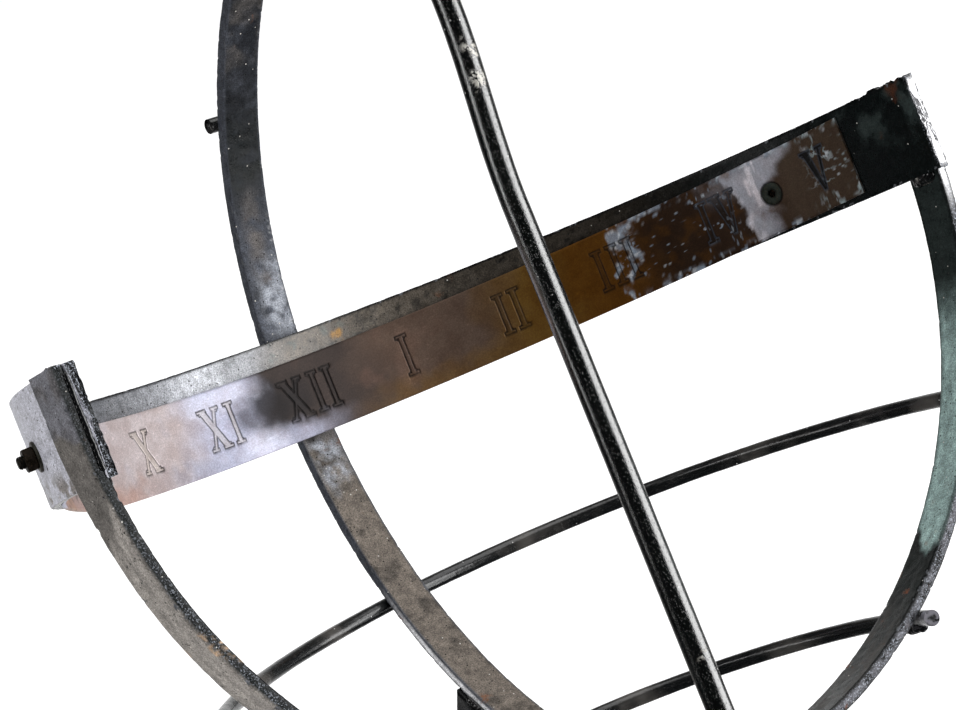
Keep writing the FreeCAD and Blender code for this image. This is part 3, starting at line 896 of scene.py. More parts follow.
def serif(at, top, half, stem_half, thick=0.075, bracket=0.05):
    """Slab at the end of a stroke with a bracket that runs into it."""
    if top:
        slab = stroke((at, 1 - thick), (at, 1), half, half)
        return [slab, stroke((at, 1 - thick - bracket), (at, 1 - thick), stem_half, half * 0.8)]
    slab = stroke((at, 0), (at, thick), half, half)
    return [slab, stroke((at, thick), (at, thick + bracket), half * 0.8, stem_half)]


def letter_i():
    return [stroke((0, 0), (0, 1), 0.062, 0.062)] + serif(0, True, 0.14, 0.062) + serif(0, False, 0.14, 0.062)


def letter_x():
    shapes = [stroke((0.22, 0), (-0.22, 1), 0.10, 0.10), stroke((-0.20, 0), (0.20, 1), 0.05, 0.05)]
    shapes += serif(-0.22, True, 0.15, 0.10) + serif(0.22, False, 0.15, 0.10)
    return shapes + serif(0.20, True, 0.115, 0.05) + serif(-0.20, False, 0.115, 0.05)


def letter_v():
    shapes = [stroke((0, 0), (-0.20, 1), 0.045, 0.10), stroke((0.02, 0), (0.20, 1), 0.03, 0.045)]
    return shapes + serif(-0.20, True, 0.16, 0.10) + serif(0.20, True, 0.12, 0.045)


LETTERS = {"I": (letter_i, 0.28), "V": (letter_v, 0.66), "X": (letter_x, 0.74)}
LETTER_GAP = 0.105


def numeral_width(text):
    return sum(LETTERS[letter][1] for letter in text) + LETTER_GAP * (len(text) - 1)


def distance_to_numeral(text, across, up):
    """Signed distance to a numeral's outline, in numeral heights, negative inside."""
    nearest = np.full(len(across), np.inf)
    pen = -numeral_width(text) / 2
    for letter in text:
        shapes, width = LETTERS[letter]
        for shape in shapes():
            points = np.array(shape) + (pen + width / 2, 0)
            farthest = np.full(len(across), -np.inf)
            for here, there in zip(points, np.roll(points, -1, axis=0)):
                run = (there - here) / np.linalg.norm(there - here)
                beyond = (across - here[0]) * run[1] - (up - here[1]) * run[0]
                farthest = np.maximum(farthest, beyond)
            nearest = np.minimum(nearest, farthest)
        pen += width + LETTER_GAP
    return nearest


# --- the hour plate ---

def hour_angle(hour):
    """Angle of an hour's numeral; the engraver set the ones after noon a little early."""
    even = BAND_TURN - HOUR_ANGLE * (hour - NOON)
    return even + ENGRAVING_DRIFT * math.cos(math.radians(1.6 * (even - ENGRAVING_DRIFT_AT)))


def plate_stations():
    """Angles along the plate, close together at the numerals and screws."""
    windows = []
    for hour, text in NUMERALS.items():
        windows.append((hour_angle(hour), numeral_width(text) * NUMERAL_HEIGHT / 2 + 1.5))
    for at in SCREW_ANGLES:
        windows.append((at, HEAD_RADIUS + 1.5))
    end = BAND_TURN + PLATE_HALF_ANGLE
    angles = [BAND_TURN - PLATE_HALF_ANGLE]
    while angles[-1] < end:
        close = any(abs(angles[-1] - at) * PER_DEGREE < half for at, half in windows)
        angles.append(min(angles[-1] + (FINE_STEP if close else COARSE_STEP) / PER_DEGREE, end))
    return np.array(angles)


def plate_section():
    """Thin rectangle whose inner side has close points where the numerals are."""
    edge = PLATE_WIDTH / 2
    half = PLATE_THICK / 2
    ease = 0.25
    rows = [-edge]
    while rows[-1] < edge - 0.01:
        close = abs(rows[-1] - NUMERAL_RAISE) < NUMERAL_HEIGHT / 2 + 1.2
        rows.append(min(rows[-1] + (FINE_STEP if close else COARSE_STEP), edge))
    rows[0] += ease
    rows[-1] -= ease
    outline = [(-half, row) for row in reversed(rows)]
    outline += [(-half + ease, -edge)]
    outline += [(half, row) for row in np.linspace(-edge, edge, 12)]
    outline += [(-half + ease, edge)]
    outline = np.array(outline)
    return outline, outline_normals(outline), smooth(1.0, 0.3, edge - np.abs(outline[:, 1]))


PINK_BEIGE = srgb(200, 189, 190)
ORANGE_PINK = srgb(186, 142, 122)
DUSTY_BEIGE = srgb(168, 158, 146)
BLUE_LILAC = srgb(172, 174, 194)
GLARE = srgb(226, 228, 246)
UMBER = srgb(50, 42, 39)
MAUVE = srgb(87, 71, 61)
OLIVE_BROWN = srgb(104, 76, 32)
GOLD_BROWN = srgb(95, 60, 14)
RED_BROWN = srgb(48, 31, 18)
PATINA_END = srgb(74, 60, 48)
DARK_REFLECTION = srgb(26, 23, 24)
SCOURED = srgb(172, 174, 184)
SCOURED_HIGHLIGHT = srgb(226, 224, 232)
OXIDE = srgb(134, 148, 164)
OXIDE_PALE = srgb(200, 208, 216)
GREEN_OXIDE = srgb(148, 164, 168)
NUMERAL_BEIGE = srgb(176, 166, 146)
NUMERAL_FILL = srgb(12, 17, 21)
GROOVE_DARK = srgb(10, 8, 8)
GROOVE_BLUE = srgb(70, 76, 86)


def plate_tone(angle, height, points):
    """Patina along the plate, brown to the east, with painted light: a pale painted reflection to the west, a
    dark painted reflection before noon and two painted glare spots.
    """
    drift = angle + 1.6 * fractal(points, 16.0, 71, 3)
    # Painted reflection: the pale lilac and pink-beige from 10 to 42 degrees, X to XI, is a softbox reflected
    # in the plate.
    tone = colour_along(drift, [
        (-72, PATINA_END), (-66, RED_BROWN), (-52, RED_BROWN), (-45, GOLD_BROWN), (-38, GOLD_BROWN),
        (-32, OLIVE_BROWN), (-24, MAUVE), (-14, MAUVE), (-6, UMBER), (5, UMBER), (10, BLUE_LILAC * 0.7),
        (16, BLUE_LILAC), (24, PINK_BEIGE), (42, PINK_BEIGE), (48, DUSTY_BEIGE * 0.7)])
    lower = smooth(-6, -19, height + 5 * fractal(points, 9.0, 72, 3))
    rosy = clouds(points, 13.0, 73, 0.1, 0.9) * smooth(-26, -12, drift) * smooth(4, -8, drift)
    # Painted reflection: a dark soft spot left of noon where the plate reflects something dark in front of
    # it.
    soft_spot = np.hypot((angle - 5.9) / 6.0, (height - 1) / 16) + 0.3 * fractal(points, 11.0, 75, 4)
    rough_brown = clouds(points, 7.0, 76, 0.0, 0.9) * smooth(-40, -48, drift) * smooth(-72, -62, drift)
    tone = layered(
        tone,
        (BLUE_LILAC * 0.8, lower * smooth(-8, 4, drift) * smooth(32, 20, drift) * 0.8),
        (OLIVE_BROWN, lower * smooth(-4, -14, drift) * smooth(-42, -34, drift) * 0.6),
        (ORANGE_PINK, lower * smooth(26, 36, drift) * 0.6),
        (ORANGE_PINK * 0.4, rosy * 0.2),
        (BLUE_LILAC, clouds(points, 15.0, 74, 0.0, 0.8) * smooth(12, 18, drift) * 0.2),
        (DARK_REFLECTION, smooth(1.4, 0.3, soft_spot) * 0.9),
        (UMBER, clouds(points, 3.0, 77, 0.1, 0.8) * smooth(46, 52, drift) * 0.5),
        (GOLD_BROWN * 0.7, rough_brown * 0.6))
    for place, level, reach in ((14, 15, 8), (9.5, -15, 5)):
        glare = np.hypot((angle - place) / reach, (height - level) / 10) + 0.2 * fractal(points, 6.0, 78, 3)
        tone = mixed(tone, GLARE, smooth(1.2, 0.1, glare) * 0.45)
    return mixed(tone, BLUE_LILAC, smooth(60, 66, angle) * smooth(-12, -14, height))


def scoured_share(angle, height, points):
    """Where the patina is rubbed through beside the east screw: torn edge to noon, wider at the top."""
    edge = angle + 0.8 * fractal(points, 7.0, 81, 4)
    west_side = smooth(-63.0, -63.5, edge - 0.055 * height)
    east_side = smooth(-69.0, -66.0, edge + 0.25 * np.maximum(height, 0))
    high = smooth(2, 16, height) * smooth(-58, -62.5, angle + 1.5 * fractal(points, 6.0, 82, 3))
    return np.maximum(west_side * east_side, high * east_side * 0.3)


def oxide_share(angle, height, points):
    """Blue-white crusts: a wandering streak beside III, scattered dots and veins at the east end."""
    wander = 2.4 * fractal(points, 13.0, 91, 4)
    streak = smooth(1.1, 0.3, np.abs(angle + 46.6 + wander + 0.05 * height))
    blot = np.hypot(angle + 46.4 + 0.5 * wander, (height - 13) / 3.2) + fractal(points, 4.0, 90, 3)
    dots = smooth(0.6, 0.8, lattice_noise(points, 1.4, 93) + 0.45 * lattice_noise(points, 4.5, 94))
    rims = smooth(17, 20.5, np.abs(height)) * smooth(-46, -52, angle)
    veins = smooth(0.22, 0.05, np.abs(fractal(points, 5.0, 96, 4))) * clouds(points, 6.0, 89, -0.3, 0.3, 3)
    return np.max([
        streak * clouds(points, 6.0, 92, -0.5, 0.1, 3),
        smooth(2.4, 1.4, blot) * 0.8,
        dots * smooth(-44, -49, angle) * smooth(-64, -60, angle) * 0.9,
        rims * clouds(points, 4.0, 95, 0.1, 0.5),
        veins * smooth(-73, -77, angle) * 0.95], axis=0)


def hour_plate():
    """Curved plate with the hours VIII to V engraved in outline and two countersunk screw holes."""
    angles = plate_stations()
    spokes = np.stack([np.cos(np.radians(angles)), np.sin(np.radians(angles)), 0 * angles], 1)
    centres = (BAND_RADIUS - PLATE_THICK / 2) * spokes + plate_height(angles)[:, None] * Z_AXIS
    shell = sweep((centres, spokes, np.tile(Z_AXIS, (len(angles), 1))), plate_section())
    points = shell.points
    angle = shell.polar_angle()
    height = points[:, 2] - plate_height(angle)
    inner = shell["out"] < 0
    scoured = scoured_share(angle, height, points)
    # The scoured patch is bare metal; its pale upright streak at -65.3 degrees is a painted highlight.
    bright = clouds(points * (1.0, 1.0, 0.3), 3.0, 84, 0.1, 0.8)
    clean = layered(
        SCOURED,
        (GOLD_BROWN, clouds(points, 7.0, 83, 0.1, 0.9) * 0.6),
        (SCOURED_HIGHLIGHT, bright * smooth(3.0, 0.5, np.abs(angle + 65.3 + 0.06 * height))))
    oxide = oxide_share(angle, height, points)
    crust = layered(
        OXIDE,
        (GREEN_OXIDE, smooth(-70, -76, angle)),
        (OXIDE_PALE, clouds(points, 1.6, 97, 0.0, 0.7, 3)))
    tone = layered(plate_tone(angle, height, points), (clean, scoured), (crust, oxide * 0.85))
    groove = np.zeros(len(points))
    for hour, text in NUMERALS.items():
        across = -(angle - hour_angle(hour)) * PER_DEGREE / NUMERAL_HEIGHT
        near = inner & (np.abs(across) < numeral_width(text) / 2 + 0.1)
        up = (height[near] - NUMERAL_RAISE) / NUMERAL_HEIGHT + 0.5
        distance = distance_to_numeral(text, across[near], up) * NUMERAL_HEIGHT
        distance += 0.08 * lattice_noise(points[near], 1.3, 98)
        groove[near] = smooth(GROOVE_WIDTH * 0.75, GROOVE_WIDTH * 0.25, np.abs(distance))
        at = angle[near]
        share = 0.3 + 0.15 * smooth(-50, -56, at) + 0.45 * smooth(-68, -72, at)
        inside = mixed(NUMERAL_BEIGE, NUMERAL_FILL, smooth(8, 4, at))
        tone[near] = mixed(tone[near], inside, smooth(0.1, -0.3, distance) * share)
    groove *= 0.75 + 0.25 * clouds(points, 5.0, 99, -0.4, 0.4, 3)
    tone = mixed(tone, mixed(GROOVE_DARK, GROOVE_BLUE, smooth(-50, -56, angle)), groove * 0.85)
    sink = groove * GROOVE_DEPTH - 0.12 * oxide
    for at in SCREW_ANGLES:
        from_screw = np.linalg.norm(points - screw_start(at), axis=1)
        sink = np.maximum(sink, np.clip((HEAD_RADIUS + 0.15 - from_screw) * 1.5, 0, PLATE_THICK - 0.1))
        # Painted shade: a dark ring round the screw head where the gap to the plate lies in shadow.
        tone = mixed(tone, GROOVE_DARK, smooth(1.1, 0.3, np.abs(from_screw - HEAD_RADIUS - 0.2)) * 0.7)
    shell.push(np.where(inner, 0.06 * fractal(points, 30.0, 70, 2) - sink, 0.0))
    shell["wear"] = oxide
    shell["shine"] = scoured
    return shell.paint(tone)


# --- the rest of the cage ---

def strap(path, thick, wide):
    return sweep(path, strap_section(thick, wide, ARRIS_RADIUS, SECTION_STEP))


def hour_band():
    middle = (BAND_LOW + BAND_HIGH) / 2 * Z_AXIS
    start = BAND_TURN - BAND_HALF_ANGLE
    end = BAND_TURN + BAND_HALF_ANGLE
    path = arc_path(middle, X_AXIS, Y_AXIS, BAND_RADIUS + BAND_THICK / 2, start, end, STRAP_STEP)
    shell = strap(path, BAND_THICK, BAND_HIGH - BAND_LOW)
    shell.paint(paint_band(shell))
    top = smooth(BAND_HIGH - 1.5, BAND_HIGH, shell.points[:, 2])
    flake = smooth(-83, -85, shell.polar_angle()) * clouds(shell.points, 5.0, 101, -0.6, 0.2)
    shell.points = shell.points + (FLAKE_RISE * top * flake)[:, None] * Z_AXIS
    return weather(shell, 100, cut_depth=1.1)


def meridian_ring():
    """Half ring through noon from pole to pole, outside the band."""
    radius = MERIDIAN_RADIUS + STRAP_THICK / 2
    reach = MERIDIAN_HALF_ANGLE
    path = arc_path(ORIGIN, X_AXIS, Z_AXIS, radius, -reach, reach, STRAP_STEP)
    shell = strap(path, STRAP_THICK, STRAP_WIDTH)
    return weather(shell.paint(paint_meridian(shell)), 110)


def half_ring_path():
    """Down the west side, round under the south pole and up the east side."""
    side = (BAND_OUTER + STRAP_THICK / 2) * Y_AXIS
    centre = HALF_RING_CENTRE * Z_AXIS
    top = BAND_HIGH * Z_AXIS
    bow = arc_path(centre, Y_AXIS, -Z_AXIS, side[1], 0, 180, STRAP_STEP)
    path = path_in_turn(
        line_path(side + top, side + centre, Y_AXIS, STRAP_STEP),
        [part[1:-1] for part in bow],
        line_path(centre - side, top - side, -Y_AXIS, STRAP_STEP))
    path[2] = np.tile(-X_AXIS, (len(path[0]), 1))
    return path


def east_west_half_ring():
    shell = strap(half_ring_path(), STRAP_THICK, STRAP_WIDTH)
    return weather(shell.paint(paint_half_ring(shell)), 120, wave=0.12, chips=0.5)


def gnomon_rod():
    """Straight bar, bowed a little in its upper half, with two chipped places on its west side."""
    end = (MERIDIAN_OUTER + GNOMON_PROUD) * Z_AXIS
    shell = sweep(line_path(-end, end, X_AXIS, GNOMON_STEP), round_section(GNOMON_RADIUS, 44))
    shell.push(0.05 * fractal(shell.points, 18.0, 130, 3) + 0.02 * fractal(shell.points, 2.0, 131, 2))
    points = shell.points
    height = points[:, 2]
    near_chips = [smooth(reach, 0.4 * reach, np.abs(height - place)) for place, reach in GNOMON_CHIPS]
    facing = smooth(0.7, 0.95, shell.normals @ GNOMON_CHIP_SIDE)
    shell["wear"] = np.max(near_chips, axis=0) * facing * clouds(points, 3.5, 132, 0.1, 0.7, 3)
    low, high = GNOMON_BOW_HEIGHTS
    bow = GNOMON_BOW * np.sin(math.pi * np.clip((height - low) / (high - low), 0, 1)) ** 2
    shell.points = points + bow[:, None] * GNOMON_BOW_DIRECTION
    return shell.paint(GNOMON_TONE)


def rod_crossings(heights):
    """Where a cage rod's centre line crosses the noon line and the half ring, east and west."""
    clear = ROD_RADIUS + ROD_STAND_OFF
    at_noon, at_east, at_west = heights
    noon = np.array([math.sqrt((MERIDIAN_OUTER + clear) ** 2 - at_noon ** 2), 0, at_noon])
    sides = []
    for turn, height in ((-1, at_east), (1, at_west)):
        reach = math.sqrt((HALF_RING_OUTER + clear) ** 2 - (height - HALF_RING_CENTRE) ** 2)
        sides.append(np.array([0, turn * reach, height]))
    return noon, *sides


def circle_through(first, second, third):
    """Centre and axis of the circle through three points."""
    one = second - first
    two = third - first
    axis = np.cross(one, two)
    square = axis @ axis
    centre = first + (np.cross(axis, one) * (two @ two) + np.cross(two, axis) * (one @ one)) / (2 * square)
    return centre, axis / math.sqrt(square)


def cage_rod(heights, seed):
    """Round bar bent outside the straps; its heights are at noon and at the half ring, east and west."""
    noon, east, west = rod_crossings(heights)
    centre, axis = circle_through(east, noon, west)
    radius = np.linalg.norm(noon - centre)
    out = (noon - centre) / radius
    turns = [math.acos(out @ (side - centre) / radius) for side in (east, west)]
    past = (STRAP_WIDTH / 2 + ROD_OVERRUN) / radius
    to_east, to_west = (math.degrees(turn) + math.degrees(past) for turn in turns)
    path = arc_path(centre, out, np.cross(axis, out), radius, -to_east, to_west, ROD_STEP)
    shell = paint_soot(sweep(path, round_section(ROD_RADIUS, 28)), 0.5, seed)
    points = shell.points
    ends = smooth(14, 2, np.minimum(shell["along"], shell["along"].max() - shell["along"]))
    crust = mixed(LILAC * 0.5, SOOT, clouds(points, 1.8, seed + 5, -0.1, 0.4))
    shell.push(0.10 * fractal(points, 26.0, seed, 3) + 0.05 * fractal(points, 2.4, seed + 1, 3))
    return shell.paint(mixed(shell.tone, crust, ends * 0.8))


def stub_directions():
    """Outward and upward directions where the stub sits on the meridian half ring."""
    tilt = math.radians(STUB_LATITUDE)
    sine, cosine = math.sin(tilt), math.cos(tilt)
    return cosine * X_AXIS + sine * Z_AXIS, cosine * Z_AXIS - sine * X_AXIS


def rod_stub():
    """Piece of bar whose ends were broken off short."""
    spoke = stub_directions()[0]
    centre = (MERIDIAN_OUTER + ROD_RADIUS) * spoke
    half = STUB_LENGTH / 2 * Y_AXIS
    shell = sweep(line_path(centre - half, centre + half, spoke, ROD_STEP), round_section(ROD_RADIUS, 28))
    paint_soot(shell, 0.3, 150)
    broken = shell["end"] * (0.8 * fractal(shell.points, 3.0, 151, 3) - 0.9)
    shell.push(0.12 * fractal(shell.points, 6.0, 150, 3) + broken)
    return shell


# --- weld beads ---

def weld_bead(path, radius, seed):
    """A run of weld: overlapping scales along a path, with round ends."""
    around = 20
    shell = sweep(path, round_section(radius, around))
    along = shell["along"]
    from_end = np.minimum(along, along.max() - along)
    taper = np.sqrt(np.clip(1 - (1 - np.clip(from_end / (1.3 * radius), 0, 1)) ** 2, 0.04, 1))
    scales = 0.10 * np.abs(np.sin(math.pi * along / 2.4))
    ends = len(CAP_SCALES)
    centre = np.repeat(np.pad(path[0], ((ends, ends), (0, 0)), "edge"), around, axis=0)
    lumps = 1 + 0.18 * fractal(shell.points, 3.5, seed, 3)
    shell.points = centre + (shell.points - centre) * (taper * (0.88 + scales) * lumps)[:, None]
    shell["wear"] = clouds(shell.points, 5.0, seed + 1, 0.6, 1.0, 3) * 0.5
    return shell.paint(WELD_TONE)


def straight_bead(middle, half, seed, radius=WELD_RADIUS):
    """Straight weld that reaches half to either side of its middle."""
    run = half / np.linalg.norm(half)
    outward = np.cross(run, X_AXIS if abs(run[0]) < 0.8 else Y_AXIS)
    outward /= np.linalg.norm(outward)
    return weld_bead(line_path(middle - half, middle + half, outward, BEAD_STEP), radius, seed)


def ring_bead(height, radius, bead_radius, seed):
    path = arc_path(height * Z_AXIS, X_AXIS, Y_AXIS, radius, 0, 359, RING_BEAD_STEP)
    return weld_bead(path, bead_radius, seed)


def rod_welds():
    beads = []
    half = STRAP_WIDTH / 2 - WELD_RADIUS
    for heights in ROD_HEIGHTS.values():
        noon, *sides = rod_crossings(heights)
        beads.append(straight_bead(noon - X_AXIS + ROD_RADIUS * Z_AXIS, half * Y_AXIS, 200 + len(beads)))
        for side in sides:
            at = side - Y_AXIS * np.sign(side[1]) - ROD_RADIUS * Z_AXIS
            beads.append(straight_bead(at, half * X_AXIS, 200 + len(beads)))
    spoke, rise = stub_directions()
    at = (MERIDIAN_OUTER + ROD_RADIUS / 2) * spoke + ROD_RADIUS * rise
    return joined(beads + [straight_bead(at, half * Y_AXIS, 210)])


def upright_bead(x, y, seed, radius=WELD_RADIUS):
    """Weld along the whole width of the hour band."""
    middle = np.array([x, y, (BAND_LOW + BAND_HIGH) / 2])
    return straight_bead(middle, ((BAND_HIGH - BAND_LOW) / 2 - WELD_RADIUS) * Z_AXIS, seed, radius)


def band_end_welds():
    """Upright beads at both edges of the half ring, and blobs under the band's lower edge."""
    beads = []
    half = (STRAP_WIDTH / 2 - WELD_RADIUS) * X_AXIS
    for side in (-1, 1):
        for edge, share in ((-1, 0.4), (1, 0.8)):
            place = edge * STRAP_WIDTH / 2
            beads.append(upright_bead(place, side * BAND_OUTER, 220 + len(beads), WELD_RADIUS * share))
        at = np.array([0, side * (BAND_OUTER - 1.5), BAND_LOW - 1.5])
        beads.append(straight_bead(at, half, 230 + len(beads), WELD_RADIUS * 1.25))
    return joined(beads)


def noon_welds():
    return joined([upright_bead(BAND_OUTER + 1.0, side * STRAP_WIDTH / 2, 240 + side) for side in (-1, 1)])


def pole_welds():
    height = MERIDIAN_OUTER + 0.3
    return joined([ring_bead(side * height, GNOMON_RADIUS + 1.0, WELD_RADIUS * 0.85, 250 + side)
                   for side in (-1, 1)])


def pole_spacer():
    low = -MERIDIAN_RADIUS - 0.5
    thick = HALF_RING_CENTRE - HALF_RING_OUTER + 0.5 - low
    outer = STRAP_WIDTH / 2
    ease = 0.6
    outline = [(0, GNOMON_RADIUS), (0, outer - ease), (ease, outer), (thick - ease, outer),
               (thick, outer - ease), (thick, GNOMON_RADIUS)]
    shell = lathe(filled(outline, SECTION_STEP, closed=False), 72, True, low * Z_AXIS)
    return weather(paint_soot(shell, 0.5, 155), 156, wave=0.05)


# --- fasteners of the hour plate ---

def screw_start(angle):
    """Where a plate screw's axis meets the plate's inner face."""
    return PLATE_INNER * polar(angle) + plate_height(angle) * Z_AXIS


def at_screws(outline, segments, tube):
    """The same turned fastener at both screws, made outward from the plate's face."""
    return joined([lathe(outline, segments, tube, screw_start(angle), polar(angle))
                   for angle in SCREW_ANGLES])


def plate_screws():
    """Countersunk screws with a hexagon socket painted near-black as shade and a thread that stands past the
    nut.
    """
    key = hexagon(HEX_KEY_FLATS)
    end = BAND_BACK + WASHER_THICK + NUT_THICK + SCREW_PROUD
    thread_start = HEAD_DEPTH + 1
    step = THREAD_PITCH / 8
    outline = [(HEX_KEY_DEPTH, 0), (HEX_KEY_DEPTH, key), (0.2, key), (-0.05, hexagon(HEX_KEY_FLATS + 0.5))]
    outline += [(-0.1, radius) for radius in (3.4, 4.4, 5.3)]
    outline += [(0.05, HEAD_RADIUS - 0.1), (0.3, HEAD_RADIUS - 0.15), (HEAD_DEPTH, SCREW_RADIUS)]
    for height in thread_start + step * np.arange(int((end - thread_start - 0.6) / step)):
        outline.append((height, threaded(SCREW_RADIUS, height)))
    outline += [(end - 0.3, SCREW_RADIUS - 0.5), (end, SCREW_RADIUS - 0.9), (end, 0)]
    shell = at_screws(outline, 72, False)
    from_face = shell["along"]
    return shell.paint(layered(
        SCREW_TONE,
        (SCREW_HEAD_TONE, smooth(0.4, 0.0, from_face)),
        # Painted shade: the socket's walls and floor are near-black.
        (SOCKET_SHADE, smooth(0.2, 0.6, from_face) * smooth(1.9, 1.4, from_face))))


def plate_washers():
    ease = 0.25
    low, high = BAND_BACK, BAND_BACK + WASHER_THICK
    bore = SCREW_RADIUS + 0.2
    outline = [(low, bore), (low, WASHER_RADIUS - ease), (low + ease, WASHER_RADIUS),
               (high - ease, WASHER_RADIUS), (high, WASHER_RADIUS - ease), (high, bore)]
    return at_screws(outline, 64, True).paint(WASHER_TONE)


def plate_nuts():
    """Hexagon nuts with turned chamfers at both faces."""
    low = BAND_BACK + WASHER_THICK
    across_corners = NUT_FLATS / math.cos(math.radians(30))
    outline = [(low, SCREW_RADIUS)]
    for height, limit in ((0, -0.2), (0.25, 0.2), (0.6, 0.8), (NUT_THICK - 0.6, 0.8), (NUT_THICK - 0.25, 0.2),
                          (NUT_THICK, -0.2)):
        outline.append((low + height, hexagon(NUT_FLATS, min(NUT_FLATS / 2 + limit, across_corners / 2))))
    outline.append((low + NUT_THICK, SCREW_RADIUS))
    return at_screws(outline, 120, True).paint(NUT_TONE)


# --- the stand, in the world's frame ---

def eased_corners(radius, low, high, ease, bore):
    """Corners of half a turned bar's section, its two outer edges rounded in two facets."""
    facet = FACET * ease
    return [(low, bore), (low, radius - ease), (low + facet, radius - facet), (low + ease, radius),
            (high - ease, radius), (high - facet, radius - facet), (high, radius - ease), (high, bore)]


def eased(radius, low, high, ease, step=2.0, bore=0):
    """Profile of a turned bar with eased edges, or of a tube if it has a bore."""
    return filled(eased_corners(radius, low, high, ease, bore), step, closed=bore > 0)


def stand_shell(outline, segments, seed, tube=False, start=ORIGIN, axis=Z_AXIS):
    shell = paint_soot(lathe(outline, segments, tube, start, axis), 0.5, seed)
    return weather(shell, seed, wave=0.08, grit=0.05)


BASE_HIGH = corners("base_flange")[1]
SOCKET_LOW, SOCKET_HIGH = corners("socket_tube")
COLLAR_LOW, COLLAR_HIGH = corners("stem_collar")
STEM_LOW, STEM_HIGH = corners("stem")
SADDLE_LOW, SADDLE_HIGH = corners("saddle_block")
GUSSET_LOW, GUSSET_HIGH = corners("gussets")
BOSS_LOW, BOSS_HIGH = corners("clamp_boss")
PAD_LOW, PAD_HIGH = corners("clamp_pad")
SCREW_LOW, SCREW_HIGH = corners("clamp_screw")
BAR_LOW, BAR_HIGH = corners("tommy_bar")
KNOB_LOW, KNOB_HIGH = corners("bar_knobs")
BORE_RADIUS = 19.0
BOLT_CIRCLE_RADIUS = 80.0
BOLT_HOLE_RADIUS = 4.5
BOLT_COUNT = 4
GUSSET_COUNT = 4
GUSSET_THICK = 6.0
GUSSET_TOE = 8.0
GUSSET_REACH = 88.0
GUSSET_TURN = 45.0
SADDLE_GROOVE = 10.5
HEAD_LENGTH = 14.0
SHANK_RADIUS = 5.0
SOUTH = -Y_AXIS
CLAMP_START = (BOSS_LOW[2] + BOSS_HIGH[2]) / 2 * Z_AXIS
BAR_CENTRE = (BAR_LOW + BAR_HIGH) / 2
BAR_RADIUS = BAR_HIGH[2] - BAR_CENTRE[2]
SLIDING_GAP = 0.35
DRILL_REACH = 30.0


def base_flange():
    return stand_shell(eased(BASE_HIGH[0], 0, BASE_HIGH[2], 1.0, 1.6), 220, 300)


def bolt_hole_cutter(index):
    """Drill for one bolt hole, with a countersink at both faces."""
    wide = BOLT_HOLE_RADIUS + 1.6
    top = BASE_HIGH[2]
    outline = [(-1, 0), (-1, wide), (0.6, BOLT_HOLE_RADIUS), (top - 0.6, BOLT_HOLE_RADIUS), (top + 1, wide),
               (top + 1, 0)]
    return lathe(outline, 40, start=BOLT_CIRCLE_RADIUS * polar(index * 360 / BOLT_COUNT))


def prism(outline, thick, ease, across, up):
    """Flat plate from an outline in two directions, with eased edges and two flat faces."""
    outline = filled(outline, 3.0)
    normals = outline_normals(outline)
    out = np.cross(across, up)
    rows = []
    facet = FACET * ease
    for inset, height in ((ease, 0), (facet, facet), (0, ease), (0, thick - ease), (facet, thick - facet),
                          (ease, thick)):
        flat = outline - inset * normals
        rows.append(flat[:, :1] * across + flat[:, 1:] * up + (height - thick / 2) * out)
    points = np.concatenate(rows)
    ring = len(outline)
    shell = Shell(points, 0 * points, grid_faces(len(rows), ring, False))
    shell.flats = [list(range(ring)), list(range(len(points) - ring, len(points)))]
    shell.crease = 30
    return paint_soot(shell, 0.5, 310)


def gussets():
    floor = GUSSET_LOW[2]
    top = GUSSET_HIGH[2]
    socket = SOCKET_HIGH[0] - 0.5
    outline = [(socket, floor), (GUSSET_REACH, floor), (GUSSET_REACH, floor + GUSSET_TOE),
               (socket + GUSSET_TOE, top), (socket, top)]
    turns = [GUSSET_TURN + index * 360 / GUSSET_COUNT for index in range(GUSSET_COUNT)]
    return joined([prism(outline, GUSSET_THICK, 0.8, polar(turn), Z_AXIS) for turn in turns])


def saddle_block():
    """Block whose top is hollowed to the meridian half ring, with a groove for the low cage rod."""
    half = SADDLE_HIGH[1]
    base = SADDLE_LOW[2]
    groove_floor = CENTRE[2] - MERIDIAN_OUTER - 2 * ROD_RADIUS - ROD_STAND_OFF - 0.5
    hollow = [(place, CENTRE[2] - math.sqrt(MERIDIAN_OUTER ** 2 - place ** 2))
              for place in np.linspace(half, SADDLE_GROOVE, 16)]
    outline = [(-half, base), (half, base)] + hollow
    outline += [(SADDLE_GROOVE, groove_floor), (-SADDLE_GROOVE, groove_floor)]
    outline += [(-place, height) for place, height in reversed(hollow)]
    return prism(outline, SADDLE_HIGH[0] - SADDLE_LOW[0], 1.0, Y_AXIS, Z_AXIS)


def socket_tube():
    outline = eased(SOCKET_HIGH[0], SOCKET_LOW[2], SOCKET_HIGH[2], 1.2, bore=BORE_RADIUS)
    return stand_shell(outline, 120, 320, True)


def stem():
    return stand_shell(eased(STEM_HIGH[0], STEM_LOW[2], STEM_HIGH[2], 1.0), 96, 330)


def stem_collar():
    low = COLLAR_LOW[2] + SLIDING_GAP
    outline = eased(COLLAR_HIGH[0], low, COLLAR_HIGH[2], 1.2, bore=STEM_HIGH[0] - 0.3)
    return stand_shell(outline, 120, 340, True)


def saddle_welds():
    beads = []
    low_angle = math.degrees(SADDLE_GROOVE / MERIDIAN_OUTER) + 1
    high_angle = math.degrees(SADDLE_HIGH[1] / MERIDIAN_OUTER) - 1.5
    for side in (-1, 1):
        centre = CENTRE + side * (STRAP_WIDTH / 2 + 0.3) * X_AXIS
        for start, end in ((low_angle, high_angle), (-high_angle, -low_angle)):
            path = arc_path(centre, -Z_AXIS, Y_AXIS, MERIDIAN_OUTER, start, end, BEAD_STEP)
            beads.append(weld_bead(path, WELD_RADIUS * 0.6, 350 + len(beads)))
    return joined(beads)


